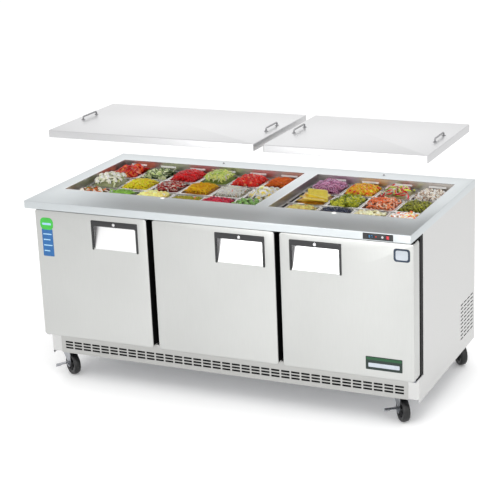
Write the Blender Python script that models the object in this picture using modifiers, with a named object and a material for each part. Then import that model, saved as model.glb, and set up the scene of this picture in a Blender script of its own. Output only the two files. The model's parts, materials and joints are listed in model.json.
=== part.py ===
"""Three-door refrigerated sandwich prep table on casters, with its two lids raised above the pans.

Metres, +Z up. The origin is on the floor under the centre of the worktop. +X runs along the
length and the doors face -Y. Sheet metal is drawn at its real thickness.
"""

from math import cos, pi, radians, sin

import bmesh
import bpy
from mathutils import Matrix, Vector

# Driving dimensions
WIDTH = 1.805
DEPTH = 0.905
HEIGHT = 0.870
APRON = 0.034
SHEET = 0.0012
GAP = 0.0003

# Pan openings in the worktop
OPENING_X = {"left": (-0.829, 0.125), "right": (0.186, 0.842)}
OPENING_Y = (-0.2265, 0.3375)
WELL_BOTTOM = 0.728

# Sixth-size pans, hung in rows on their rims
PAN_PITCH = 0.15875
PAN_LENGTH = 0.176
PAN_COLUMNS = {"left": 6, "right": 4}
PAN_ROWS = ("front", "middle", "rear")
PAN_DEEP = 0.100
PAN_WALL = 0.0008
PAN_RIM = 0.009
PAN_TAPER = 0.007
RIM_TOP = 0.835
RIM_THICK = 0.001
BAR_WIDTH = 0.012
END_MARGIN = 0.00075
ROW_MARGIN = 0.006

# Cabinet
CASING_X = (-0.8755, 0.9015)
CASING_FRONT = -0.2985
CASING_BACK = 0.451
CASING_TOP = 0.8355
BASE_FRONT = -0.355
BASE_LOW = 0.113
SKIRT_LOW = 0.126
SKIRT_TOP = 0.2195
FLANGE_WIDTH = 0.048
FLOOR_PLATE_LOW = 0.1275
LINER_X = (-0.846, 0.872)
LINER_FLOOR = 0.249
LINER_STEP_Y = 0.165
LINER_STEP_Z = 0.404
LINER_BACK = 0.401
LINER_TOP = 0.866

# Doors, from left to right, with the side their hinge is on
DOORS = {
    "left": {"x": (-0.875, -0.312), "hinge": -1},
    "centre": {"x": (-0.283, 0.292), "hinge": -1},
    "right": {"x": (0.315, 0.901), "hinge": 1},
}
DOOR_LOW = 0.226
DOOR_TOP = 0.8225
DOOR_FRONT = -0.4125
DOOR_BACK = -0.3445
DOOR_CORNER = 0.013
FRAME_FRONT = -0.330
FRAME_INSET = 0.030
FRAME_LOW = 0.2245
HINGE_IN = 0.008
HINGE_Y = DOOR_FRONT + 0.025
PIN_RADIUS = 0.005
PIN_HOLE = 0.0054
PIN_IN = 0.014
LUG_HALF = 0.008
LUG_REACH = 0.010

# Pocket handle
HANDLE_WIDTH = 0.230
HANDLE_INSET = 0.045
HANDLE_TOP = 0.795
HANDLE_LOW = 0.660
HANDLE_BAR = 0.025
HANDLE_SIDE = 0.008
HANDLE_PROUD = 0.004
POCKET_DEEP = 0.031
LOCK_RADIUS = 0.0045
LOCK_Z = 0.783

# Control module and its rocker switch
CONTROL_BOX = ((0.700, -DEPTH / 2 + GAP, 0.8390), (0.828, -0.415, 0.8660))
SWITCH_CENTRE = (0.805, -0.4475, 0.8520)
SWITCH_POCKET = (0.0070, 0.0105, 0.0085)
SWITCH_TILT = radians(10)
SWITCH_FACE = [
    (-0.0036, -0.0072), (-0.0024, 0.0), (-0.0036, 0.0072),
    (0.0010, 0.0062), (0.0028, 0.0), (0.0010, -0.0062),
]

# Lids
LID_X = {"left": (-0.888, 0.130), "right": (0.173, 0.901)}
LID_Y = (-0.231, 0.361)
LID_TOP = 1.141
LID_THICK = 0.032
LID_HANDLE_INSET = 0.045
LID_HANDLE_HALF = 0.060
LID_HANDLE_RISE = 0.018
LID_HANDLE_RADIUS = 0.004

# Casters: the swivel axis and the way the wheel trails from it, in degrees from +Y
CASTERS = {
    "front_left": {"at": (-0.833, -0.290), "turn": -122.0, "brake": True},
    "front_right": {"at": (0.7915, -0.280), "turn": -140.0, "brake": True},
    "rear_left": {"at": (-0.833, 0.409), "turn": -130.0, "brake": False},
    "rear_right": {"at": (0.835, 0.409), "turn": -140.0, "brake": False},
}
CASTER_PLATE = 0.040
WHEEL_RADIUS = 0.051
WHEEL_HALF = 0.016
WHEEL_SIDES = 24
TRAIL = 0.035
AXLE_RADIUS = 0.004

# Grille and louvre slots
GRILLE_COLUMNS = 35
GRILLE_PITCH = 0.0471
GRILLE_MIDDLE = 0.0143
GRILLE_SLOT = (0.039, 0.0065)
GRILLE_ROWS_Z = (0.147, 0.161, 0.175)
LOUVRE_COLUMNS = 4
LOUVRE_ROWS = 10
LOUVRE_Y = (0.236, 0.425)
LOUVRE_Z = (0.179, 0.340)
LOUVRE_SLOT = (0.038, 0.006)

# Cooling parts
CONDENSER = {"low": (0.700, 0.195, 0.135), "high": (0.765, 0.430, 0.370), "radius": 0.095}
EVAPORATOR = {"low": (-0.280, 0.345, 0.500), "high": (0.280, 0.392, 0.660), "radius": 0.065}
FAN_CLEAR = 0.003
COMPRESSOR_AT = (0.330, 0.300)
COMPRESSOR_CAN = [
    (0.0, 0.185), (0.045, 0.180), (0.070, 0.160), (0.078, 0.130),
    (0.078, 0.035), (0.060, 0.010), (0.050, 0.002), (0.0, 0.002),
]

# Looks: name, colour, roughness, metallic
STEEL = ("stainless", (0.72, 0.72, 0.71), 0.28, 1.0)
BRIGHT = ("bright_steel", (0.80, 0.80, 0.80), 0.18, 1.0)
PALE = ("pale_steel", (0.76, 0.76, 0.74), 0.34, 1.0)
ZINC = ("zinc", (0.62, 0.63, 0.65), 0.35, 1.0)
BLACK = ("black_plastic", (0.02, 0.02, 0.02), 0.45, 0.0)
DARK_METAL = ("dark_metal", (0.03, 0.03, 0.03), 0.50, 0.2)
RUBBER = ("rubber", (0.03, 0.03, 0.03), 0.75, 0.0)
ALUMINIUM = ("aluminium", (0.70, 0.71, 0.72), 0.35, 1.0)
WHITE = ("white_wire", (0.85, 0.85, 0.84), 0.40, 0.0)
RED = ("red_plastic", (0.60, 0.03, 0.02), 0.35, 0.0)


def start():
    """Empties the scene and makes one collection for the parts and one for the cutters."""
    for old in list(bpy.data.objects):
        bpy.data.objects.remove(old, do_unlink=True)
    groups = []
    for name in ("sandwich_prep_table", "cutters"):
        group = bpy.data.collections.new(name)
        bpy.context.scene.collection.children.link(group)
        groups.append(group)
    return groups


PARTS, CUTTERS = start()


def material(look):
    name, colour, roughness, metallic = look
    found = bpy.data.materials.get(name)
    if found:
        return found
    found = bpy.data.materials.new(name)
    found.use_nodes = True
    shader = found.node_tree.nodes["Principled BSDF"]
    shader.inputs["Base Color"].default_value = (*colour, 1.0)
    shader.inputs["Roughness"].default_value = roughness
    shader.inputs["Metallic"].default_value = metallic
    return found


def add(name, bm, look=None):
    """Makes an object from bm: a part with its look, or a hidden cutter where there is none."""
    mesh = bpy.data.meshes.new(name)
    bm.to_mesh(mesh)
    bm.free()
    made = bpy.data.objects.new(name, mesh)
    if look:
        mesh.materials.append(material(look))
        PARTS.objects.link(made)
    else:
        CUTTERS.objects.link(made)
        made.hide_render = True
        made.display_type = "WIRE"
    return made


def add_box(bm, low, high):
    size = [b - a for a, b in zip(low, high)]
    middle = [(a + b) / 2 for a, b in zip(low, high)]
    matrix = Matrix.Translation(middle) @ Matrix.Diagonal((*size, 1.0))
    return bmesh.ops.create_cube(bm, size=1.0, matrix=matrix)["verts"]


def box(name, low, high, look=None):
    bm = bmesh.new()
    add_box(bm, low, high)
    return add(name, bm, look)


def panel(name, low, high, corner, look=None):
    """A box whose four edges along Y are rounded."""
    bm = bmesh.new()
    add_box(bm, low, high)
    along = [edge for edge in bm.edges if abs(edge.verts[0].co.y - edge.verts[1].co.y) > 1e-6]
    bmesh.ops.bevel(bm, geom=along, offset=corner, segments=3, profile=0.5, affect="EDGES")
    return add(name, bm, look)


def boxes(name, corners):
    """One cutter of several boxes that don't touch."""
    bm = bmesh.new()
    for low, high in corners:
        add_box(bm, low, high)
    return add(name, bm)


def rod(name, start_at, end_at, radius, look=None, sides=12):
    """A cylinder between two points."""
    a, b = Vector(start_at), Vector(end_at)
    turn = (b - a).to_track_quat("Z", "Y").to_matrix().to_4x4()
    bm = bmesh.new()
    bmesh.ops.create_cone(
        bm, cap_ends=True, segments=sides, radius1=radius, radius2=radius,
        depth=(b - a).length, matrix=Matrix.Translation((a + b) / 2) @ turn,
    )
    return add(name, bm, look)


def prism(name, outline, x_low, x_high, look=None):
    """A flat outline of (y, z) points, extruded along X."""
    bm = bmesh.new()
    face = bm.faces.new([bm.verts.new((x_low, y, z)) for y, z in outline])
    grown = bmesh.ops.extrude_face_region(bm, geom=[face])["geom"]
    moved = [item for item in grown if isinstance(item, bmesh.types.BMVert)]
    bmesh.ops.translate(bm, verts=moved, vec=(x_high - x_low, 0, 0))
    bmesh.ops.recalc_face_normals(bm, faces=bm.faces)
    return add(name, bm, look)


def boolean(target, tools, operation):
    for tool in tools:
        change = target.modifiers.new(f"{operation.lower()} {tool.name}", "BOOLEAN")
        change.operation = operation
        change.solver = "EXACT"
        change.object = tool
    return target


def cut(target, *tools):
    return boolean(target, tools, "DIFFERENCE")


def join(target, *tools):
    return boolean(target, tools, "UNION")


def worktop():
    """The top sheet with its apron, the two pan openings and the control cut-out."""
    top = box("worktop", (-WIDTH / 2, -DEPTH / 2, HEIGHT - APRON), (WIDTH / 2, DEPTH / 2, HEIGHT), STEEL)
    inside = box(
        "worktop inside",
        (-WIDTH / 2 + SHEET, -DEPTH / 2 + SHEET, HEIGHT - APRON - 0.01),
        (WIDTH / 2 - SHEET, DEPTH / 2 - SHEET, HEIGHT - SHEET),
    )
    holes = []
    for x0, x1 in OPENING_X.values():
        holes.append(((x0, OPENING_Y[0], HEIGHT - 0.02), (x1, OPENING_Y[1], HEIGHT + 0.02)))
    openings = boxes("worktop openings", holes)
    low, high = CONTROL_BOX
    panel_hole = box(
        "control hole",
        (low[0] - GAP, -DEPTH / 2 - 0.01, low[2] - GAP),
        (high[0] + GAP, -DEPTH / 2 + 0.01, high[2] + GAP),
    )
    return cut(top, inside, openings, panel_hole)


def control_panel():
    """The thermostat module in the apron, with the pocket that the rocker sits in."""
    module = box("control_panel", *CONTROL_BOX, BLACK)
    x, y, z = SWITCH_CENTRE
    half_x, deep, half_z = SWITCH_POCKET
    pocket = box("rocker pocket", (x - half_x, -0.46, z - half_z), (x + half_x, y + deep - 0.004, z + half_z))
    return cut(module, pocket)


def power_switch():
    """A rocker with a hollow face, tipped to one side, on a pivot along X."""
    x, y, z = SWITCH_CENTRE
    across, up = cos(SWITCH_TILT), sin(SWITCH_TILT)
    turned_face = [(a * across - b * up, a * up + b * across) for a, b in SWITCH_FACE]
    rocker = prism("power_switch", turned_face, -SWITCH_POCKET[0] + 0.0005, SWITCH_POCKET[0] - 0.0005, RED)
    rocker.location = (x, y, z)
    return rocker


def row_y(index):
    """Front and rear edge of a row of pan rims, counted from the front."""
    front = OPENING_Y[0] + ROW_MARGIN + index * (PAN_LENGTH + BAR_WIDTH)
    return front, front + PAN_LENGTH


def first_pan_x(side):
    """Left edge of the first pan rim: the pans stand against the right end of their well."""
    return OPENING_X[side][1] - END_MARGIN - PAN_COLUMNS[side] * PAN_PITCH


def pan_well(side):
    """The open-bottomed collar under an opening, with ledges and one air slot for each pan column."""
    x0, x1 = OPENING_X[side]
    y0, y1 = OPENING_Y
    top = HEIGHT - SHEET - GAP
    ledge_top = RIM_TOP - RIM_THICK - GAP
    ledge = 0.014
    corner = (x0 - SHEET, y0 - SHEET, WELL_BOTTOM)
    well = box(f"pan_well_{side}", corner, (x1 + SHEET, y1 + SHEET, top), BRIGHT)
    above = box(f"{side} well above ledge", (x0, y0, ledge_top), (x1, y1, HEIGHT + 0.01))
    below = box(f"{side} well below ledge", (x0, y0, WELL_BOTTOM - 0.01), (x1, y1, ledge_top - SHEET))
    through = box(
        f"{side} well through", (x0, y0 + ledge, ledge_top - 0.01), (x1, y1 - ledge, ledge_top + 0.01)
    )
    slots = []
    for column in range(PAN_COLUMNS[side]):
        middle = first_pan_x(side) + (column + 0.5) * PAN_PITCH
        slots.append(((middle - 0.0415, y1 - 0.01, 0.8455), (middle + 0.0415, y1 + 0.01, 0.8545)))
    return cut(well, above, below, through, boxes(f"{side} air slots", slots))


def pan_rack(side):
    """Two T-section bars along X under the pan rims, joined by a rail at each end."""
    x0, x1 = OPENING_X[side]
    rest = RIM_TOP - RIM_THICK - GAP
    low = rest - 0.0032
    rail = 0.0072
    rails_y = (OPENING_Y[0] + 0.0143, OPENING_Y[1] - 0.0143)
    rack = box(f"pan_rack_{side}", (x0 + GAP, rails_y[0], low), (x0 + GAP + rail, rails_y[1], rest), BRIGHT)
    pieces = [box(f"{side} end rail", (x1 - GAP - rail, rails_y[0], low), (x1 - GAP, rails_y[1], rest))]
    for index in range(len(PAN_ROWS) - 1):
        y = row_y(index)[1] + BAR_WIDTH / 2
        foot = (BAR_WIDTH / 2 + 0.0075, low, rest)
        rib = (BAR_WIDTH / 2 - GAP, low + 0.001, RIM_TOP + 0.0025)
        for kind, (half, z0, z1) in (("foot", foot), ("rib", rib)):
            end = GAP if kind == "foot" else GAP + rail / 2
            corner = (x0 + end, y - half, z0)
            pieces.append(box(f"{side} bar {kind} {index}", corner, (x1 - end, y + half, z1)))
    return join(rack, *pieces)


def tub(bm, middle_x, middle_y, shrink, low, high):
    """A tapered pan body with cut corners, smaller by shrink all round."""
    verts = add_box(bm, (-0.5, -0.5, 0.0), (0.5, 0.5, 1.0))
    half_x = PAN_PITCH / 2 - PAN_RIM - shrink
    half_y = PAN_LENGTH / 2 - PAN_RIM - shrink
    for vert in verts:
        inward = PAN_TAPER if vert.co.z < 0.5 else 0.0
        vert.co.x = middle_x + (1 if vert.co.x > 0 else -1) * (half_x - inward)
        vert.co.y = middle_y + (1 if vert.co.y > 0 else -1) * (half_y - inward)
        vert.co.z = high if vert.co.z > 0.5 else low
    edges = sorted({edge for vert in verts for edge in vert.link_edges}, key=lambda edge: edge.index)
    corners = [edge for edge in edges if abs(edge.verts[0].co.z - edge.verts[1].co.z) > 0.01]
    bmesh.ops.bevel(bm, geom=corners, offset=0.016, segments=1, affect="EDGES")


def pan_row(side, index):
    """One row of pans, whose rims touch, as one piece."""
    name = PAN_ROWS[index]
    y0, y1 = row_y(index)
    x0 = first_pan_x(side)
    count = PAN_COLUMNS[side]
    row = box(
        f"pan_row_{side}_{name}", (x0, y0, RIM_TOP - RIM_THICK), (x0 + count * PAN_PITCH, y1, RIM_TOP), BRIGHT
    )
    bodies = bmesh.new()
    hollows = bmesh.new()
    for column in range(count):
        x = x0 + (column + 0.5) * PAN_PITCH
        y = (y0 + y1) / 2
        bottom = RIM_TOP - PAN_DEEP
        tub(bodies, x, y, 0.0, bottom, RIM_TOP - RIM_THICK / 2)
        tub(hollows, x, y, PAN_WALL, bottom + PAN_WALL, RIM_TOP + 0.005)
    join(row, add(f"{side} {name} tubs", bodies))
    return cut(row, add(f"{side} {name} hollows", hollows))


def outer_casing():
    """Left side, back and right side in one bent sheet, with the front corner flanges below the doors."""
    x_low, x_high = CASING_X
    casing = box("outer_casing", (x_low, CASING_BACK - SHEET, 0.130), (x_high, CASING_BACK, CASING_TOP), PALE)
    pieces = []
    for tag, outer, inward in (("left", x_low, 1), ("right", x_high, -1)):
        x0, x1 = sorted((outer, outer + inward * SHEET))
        flange = sorted((outer, outer + inward * FLANGE_WIDTH))
        corner = (flange[0], BASE_FRONT, SKIRT_LOW)
        pieces += [
            box(f"{tag} casing side", (x0, CASING_FRONT, 0.20), (x1, CASING_BACK, CASING_TOP)),
            box(f"{tag} casing foot", (x0, BASE_FRONT, BASE_LOW), (x1, CASING_BACK, SKIRT_TOP)),
            box(f"{tag} casing flange", corner, (flange[1], BASE_FRONT + SHEET, SKIRT_TOP)),
        ]
    join(casing, *pieces)
    step_y = (LOUVRE_Y[1] - LOUVRE_Y[0] - LOUVRE_SLOT[0]) / (LOUVRE_COLUMNS - 1)
    step_z = (LOUVRE_Z[1] - LOUVRE_Z[0]) / (LOUVRE_ROWS - 1)
    slots = []
    for row in range(LOUVRE_ROWS):
        z = LOUVRE_Z[0] + row * step_z
        for column in range(LOUVRE_COLUMNS):
            y = LOUVRE_Y[0] + column * step_y
            low = (x_high - 0.01, y, z - LOUVRE_SLOT[1] / 2)
            slots.append((low, (x_high + 0.01, y + LOUVRE_SLOT[0], z + LOUVRE_SLOT[1] / 2)))
    return cut(casing, boxes("louvre slots", slots))


def front_grille():
    """The slotted kick panel below the doors, with a top return that carries the hinge brackets."""
    x0 = CASING_X[0] + FLANGE_WIDTH + 0.0005
    x1 = CASING_X[1] - FLANGE_WIDTH - 0.0005
    kick = box("front_grille", (x0, BASE_FRONT, 0.1215), (x1, BASE_FRONT + SHEET, SKIRT_TOP), PALE)
    shelf = box("grille return", (x0, BASE_FRONT, SKIRT_TOP - SHEET), (x1, CASING_FRONT - 0.003, SKIRT_TOP))
    join(kick, shelf)
    slots = []
    first = GRILLE_MIDDLE - (GRILLE_COLUMNS - 1) / 2 * GRILLE_PITCH
    for z in GRILLE_ROWS_Z:
        for column in range(GRILLE_COLUMNS):
            x = first + column * GRILLE_PITCH
            low = (x - GRILLE_SLOT[0] / 2, BASE_FRONT - 0.01, z - GRILLE_SLOT[1] / 2)
            slots.append((low, (x + GRILLE_SLOT[0] / 2, BASE_FRONT + 0.01, z + GRILLE_SLOT[1] / 2)))
    return cut(kick, boxes("grille slots", slots))


def base_frame():
    """The floor tray of the machine space, with the four plates that the casters bolt to."""
    inner = SHEET + GAP
    low = Vector((CASING_X[0] + inner, BASE_FRONT + inner, FLOOR_PLATE_LOW))
    high = Vector((CASING_X[1] - inner, CASING_BACK - inner, 0.141))
    plate = Vector((0.0015, 0.0015, 0.0015))
    tray = box("base_frame", low, high, ZINC)
    inside = box("base inside", low + plate, (high.x - plate.x, high.y - plate.y, 0.2))
    plates = []
    for name, caster in CASTERS.items():
        x, y = caster["at"]
        corner = (x - CASTER_PLATE, y - CASTER_PLATE, FLOOR_PLATE_LOW - 0.0035)
        opposite = (x + CASTER_PLATE, y + CASTER_PLATE, FLOOR_PLATE_LOW + 0.001)
        plates.append(box(f"{name} plate", corner, opposite))
    return join(cut(tray, inside), *plates)


def cabinet_liner():
    """The cold box: open to the front and to the pans above, stepped over the machine space."""
    front = CASING_FRONT + GAP
    x0, x1 = LINER_X
    liner = box("cabinet_liner", (x0, front, LINER_FLOOR), (x1, LINER_STEP_Y, LINER_TOP), ALUMINIUM)
    upper = box("liner upper", (x0, LINER_STEP_Y - 0.01, LINER_STEP_Z), (x1, LINER_BACK, LINER_TOP))
    in_x0, in_x1 = x0 + SHEET, x1 - SHEET
    open_top = LINER_TOP + 0.01
    corner = (in_x0, front - 0.01, LINER_FLOOR + SHEET)
    hollow = box("liner hollow", corner, (in_x1, LINER_STEP_Y - SHEET, open_top))
    upper_hollow = box(
        "liner upper hollow",
        (in_x0, LINER_STEP_Y - 0.02, LINER_STEP_Z + SHEET),
        (in_x1, LINER_BACK - SHEET, open_top),
    )
    return cut(join(liner, upper), hollow, upper_hollow)


def hinge_x(door):
    """Distance along X of a door's hinge axis."""
    return door["x"][0] + HINGE_IN if door["hinge"] < 0 else door["x"][1] - HINGE_IN


def face_frame():
    """The black frame around the three doorways, with the upper hinge lugs and their pins."""
    inner = SHEET + GAP
    frame = box(
        "face_frame",
        (CASING_X[0] + inner, FRAME_FRONT, FRAME_LOW),
        (CASING_X[1] - inner, CASING_FRONT - GAP, CASING_TOP - 0.001),
        DARK_METAL,
    )
    holes = []
    lugs = []
    for name, door in DOORS.items():
        x0, x1 = door["x"]
        low = (x0 + FRAME_INSET, FRAME_FRONT - 0.01, DOOR_LOW + FRAME_INSET)
        holes.append((low, (x1 - FRAME_INSET, CASING_FRONT + 0.01, DOOR_TOP - FRAME_INSET)))
        x = hinge_x(door)
        plate_low, plate_high = DOOR_TOP + 0.003, DOOR_TOP + 0.006
        corner = (x - LUG_HALF, HINGE_Y - LUG_REACH, plate_low)
        lugs.append(box(f"{name} lug", corner, (x + LUG_HALF, FRAME_FRONT + 0.005, plate_high)))
        foot = (x, HINGE_Y, DOOR_TOP - PIN_IN)
        lugs.append(rod(f"{name} upper pin", foot, (x, HINGE_Y, plate_low + 0.0015), PIN_RADIUS))
    return join(cut(frame, boxes("doorways", holes)), *lugs)


def hinge_bracket(name, door):
    """The lower hinge plate with the pin that the door stands on."""
    x = hinge_x(door)
    low, high = SKIRT_TOP + GAP, SKIRT_TOP + 0.0033
    corner = (x - LUG_HALF, HINGE_Y - LUG_REACH, low)
    plate = box(f"hinge_bracket_{name}", corner, (x + LUG_HALF, CASING_FRONT - 0.008, high), ZINC)
    foot = (x, HINGE_Y, low + 0.0015)
    return join(plate, rod(f"{name} lower pin", foot, (x, HINGE_Y, DOOR_LOW + PIN_IN), PIN_RADIUS))


def handle_x(door):
    """Left and right edge of a door's handle, which sits near its free edge."""
    x0, x1 = door["x"]
    left = x1 - HANDLE_INSET - HANDLE_WIDTH if door["hinge"] < 0 else x0 + HANDLE_INSET
    return left, left + HANDLE_WIDTH


def pocket_outlines():
    """Outlines of the handle pocket's outer skin and of its hollow, flush at the foot, deep at the head."""
    foot = HANDLE_LOW + 0.004
    head = HANDLE_TOP - 0.006
    lip = HANDLE_TOP - HANDLE_BAR
    skin = 1.03 * SHEET
    inside_front = DOOR_FRONT + SHEET / 2
    below = (skin - SHEET / 2) * (head - foot) / POCKET_DEEP
    outer = [(inside_front, foot - below), (DOOR_FRONT + POCKET_DEEP + skin, head)]
    outer += [(DOOR_FRONT + POCKET_DEEP + skin, head + SHEET), (inside_front, head + SHEET)]
    hollow = [(DOOR_FRONT - 0.005, foot), (DOOR_FRONT, foot), (DOOR_FRONT + POCKET_DEEP, head)]
    hollow += [(DOOR_FRONT + SHEET, head), (DOOR_FRONT + SHEET, lip), (DOOR_FRONT - 0.005, lip)]
    return outer, hollow


def door_shell(name, door):
    """The stainless door skin: front, four sides and the sloping handle pocket."""
    x0, x1 = door["x"]
    back = DOOR_BACK - SHEET - GAP
    shell = panel(f"door_shell_{name}", (x0, DOOR_FRONT, DOOR_LOW), (x1, back, DOOR_TOP), DOOR_CORNER, STEEL)
    inside = panel(
        f"{name} door inside",
        (x0 + SHEET, DOOR_FRONT + SHEET, DOOR_LOW + SHEET),
        (x1 - SHEET, back + 0.01, DOOR_TOP - SHEET),
        DOOR_CORNER - SHEET,
    )
    left, right = handle_x(door)
    left += HANDLE_SIDE
    right -= HANDLE_SIDE
    outer, hollow_outline = pocket_outlines()
    pocket = prism(f"{name} pocket", outer, left - SHEET, right + SHEET)
    hollow = prism(f"{name} pocket hollow", hollow_outline, left, right)
    middle = (left + right) / 2
    lock_hole = rod(
        f"{name} lock hole",
        (middle, DOOR_FRONT - 0.01, LOCK_Z),
        (middle, DOOR_FRONT + 0.006, LOCK_Z),
        LOCK_RADIUS + 0.0004,
    )
    x = hinge_x(door)
    pin_hole = rod(f"{name} pin hole", (x, HINGE_Y, DOOR_LOW - 0.02), (x, HINGE_Y, DOOR_TOP + 0.02), PIN_HOLE)
    return cut(join(cut(shell, inside), pocket), hollow, lock_hole, pin_hole)


def door_liner(name, door):
    """The inner door panel, raised in the middle, hollow towards the door skin."""
    x0, x1 = door["x"]
    edge = 0.001
    liner = panel(
        f"door_liner_{name}",
        (x0 + edge, DOOR_BACK - SHEET, DOOR_LOW + edge),
        (x1 - edge, DOOR_BACK, DOOR_TOP - edge),
        DOOR_CORNER - edge,
        WHITE,
    )
    inset = 0.050
    raised = box(
        f"{name} raised panel",
        (x0 + inset, DOOR_BACK - 0.0005, DOOR_LOW + inset),
        (x1 - inset, DOOR_BACK + 0.010, DOOR_TOP - inset),
    )
    inner = inset + 0.0015
    hollow = box(
        f"{name} panel hollow",
        (x0 + inner, DOOR_BACK - 0.01, DOOR_LOW + inner),
        (x1 - inner, DOOR_BACK + 0.0085, DOOR_TOP - inner),
    )
    return cut(join(liner, raised), hollow)


def door_gasket(name, door):
    """The magnetic seal, a ring that starts further in than the hinge axis so that it never binds."""
    x0, x1 = door["x"]
    outer, inner = 0.010, 0.028
    ring = box(
        f"door_gasket_{name}",
        (x0 + outer, DOOR_BACK + GAP, DOOR_LOW + outer),
        (x1 - outer, FRAME_FRONT - GAP, DOOR_TOP - outer),
        RUBBER,
    )
    hole = box(
        f"{name} gasket hole",
        (x0 + inner, DOOR_BACK - 0.01, DOOR_LOW + inner),
        (x1 - inner, FRAME_FRONT + 0.01, DOOR_TOP - inner),
    )
    return cut(ring, hole)


def handle_trim(name, door):
    """The black frame of the pocket: a bar across the top, two legs and two cheeks inside the pocket."""
    left, right = handle_x(door)
    front = DOOR_FRONT - HANDLE_PROUD
    back = DOOR_FRONT - GAP
    bar_low = HANDLE_TOP - HANDLE_BAR
    trim = box(f"handle_trim_{name}", (left, front, bar_low), (right, back, HANDLE_TOP), BLACK)
    pieces = []
    leg = HANDLE_SIDE + 0.002
    for tag, x0, x1 in (("left", left, left + leg), ("right", right - leg, right)):
        pieces.append(box(f"{name} {tag} leg", (x0, front, HANDLE_LOW), (x1, back, bar_low + 0.002)))
    for tag, x0 in (("left", left + HANDLE_SIDE + GAP), ("right", right - HANDLE_SIDE - GAP - 0.002)):
        foot, head = HANDLE_LOW + 0.012, bar_low - 0.002
        reach = POCKET_DEEP * (head - foot) / (HANDLE_TOP - HANDLE_LOW)
        outline = [(back - 0.001, foot), (DOOR_FRONT + reach, head), (back - 0.001, head)]
        pieces.append(prism(f"{name} {tag} cheek", outline, x0, x0 + 0.002))
    join(trim, *pieces)
    middle = (left + right) / 2
    hole = rod(
        f"{name} trim hole",
        (middle, front - 0.01, LOCK_Z),
        (middle, back + 0.0001, LOCK_Z),
        LOCK_RADIUS + 0.0004,
    )
    return cut(trim, hole)


def door_lock(name, door):
    """The key barrel that turns in the handle bar."""
    left, right = handle_x(door)
    middle = (left + right) / 2
    lock = rod(f"door_lock_{name}", (0, -HANDLE_PROUD - 0.0015, 0), (0, 0.010, 0), LOCK_RADIUS, BRIGHT, 16)
    lock.location = (middle, DOOR_FRONT, LOCK_Z)
    slot = box(f"{name} key slot", (-0.0006, -HANDLE_PROUD - 0.01, -0.0025), (0.0006, -HANDLE_PROUD, 0.0025))
    slot.location = lock.location
    return cut(lock, slot)


def shelf(name, door):
    """A coated shelf, a grid of bars in a frame, behind one doorway."""
    x0, x1 = door["x"][0] + 0.045, door["x"][1] - 0.045
    x0, x1 = max(x0, LINER_X[0] + 0.015), min(x1, LINER_X[1] - 0.015)
    y0, y1 = -0.270, LINER_STEP_Y - 0.015
    rack = box(f"shelf_{name}", (x0, y0, 0.520), (x1, y1, 0.526), WHITE)
    bars = 8
    wide = (x1 - x0 - 0.006) / bars
    gaps = []
    for index in range(bars):
        left = x0 + 0.006 + index * wide
        gaps.append(((left, y0 + 0.006, 0.51), (left + wide - 0.006, y1 - 0.006, 0.54)))
    return cut(rack, boxes(f"{name} shelf gaps", gaps))


def lid(side):
    """A flat sheet lid with its edges turned down, open below."""
    x0, x1 = LID_X[side]
    y0, y1 = LID_Y
    made = box(f"lid_{side}", (x0, y0, LID_TOP - LID_THICK), (x1, y1, LID_TOP), STEEL)
    inside = box(
        f"{side} lid inside",
        (x0 + SHEET, y0 + SHEET, LID_TOP - LID_THICK - 0.01),
        (x1 - SHEET, y1 - SHEET, LID_TOP - SHEET),
    )
    return cut(made, inside)


def lid_handle(name, x):
    """A bent round bar that stands on the lid on its two ends."""
    y = (LID_Y[0] + LID_Y[1]) / 2
    base = LID_TOP + GAP
    bend = 0.008
    half = LID_HANDLE_HALF
    rise = LID_HANDLE_RISE - LID_HANDLE_RADIUS
    path = [(-half, 0.0), (-half, rise - bend)]
    path += [(-half + bend * (1 - cos(a)), rise - bend * (1 - sin(a))) for a in (pi / 6, pi / 3, pi / 2)]
    points = path + [(-u, v) for u, v in reversed(path)]
    curve = bpy.data.curves.new(name, "CURVE")
    curve.dimensions = "3D"
    curve.bevel_depth = LID_HANDLE_RADIUS
    curve.bevel_resolution = 2
    curve.use_fill_caps = True
    line = curve.splines.new("POLY")
    line.points.add(len(points) - 1)
    for point, (u, v) in zip(line.points, points):
        point.co = (x, y + u, base + v, 1.0)
    curve.materials.append(material(BRIGHT))
    bar = bpy.data.objects.new(name, curve)
    PARTS.objects.link(bar)
    return bar


def turned(name, profile, look, sides=24):
    """A closed ring turned about the local Z axis from a profile of (radius, z) points."""
    bm = bmesh.new()
    verts = [bm.verts.new((r, 0.0, z)) for r, z in profile]
    for a, b in zip(verts, verts[1:] + verts[:1]):
        bm.edges.new((a, b))
    made = add(name, bm, look)
    spin = made.modifiers.new("turn", "SCREW")
    spin.steps = sides
    spin.render_steps = sides
    spin.use_merge_vertices = True
    spin.merge_threshold = 0.0001
    return made


def place(piece, caster):
    """Moves a caster piece from its local frame, stem at the origin, to its place."""
    piece.location = (*caster["at"], 0.0)
    piece.rotation_euler = (0.0, 0.0, radians(caster["turn"]))
    return piece


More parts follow.
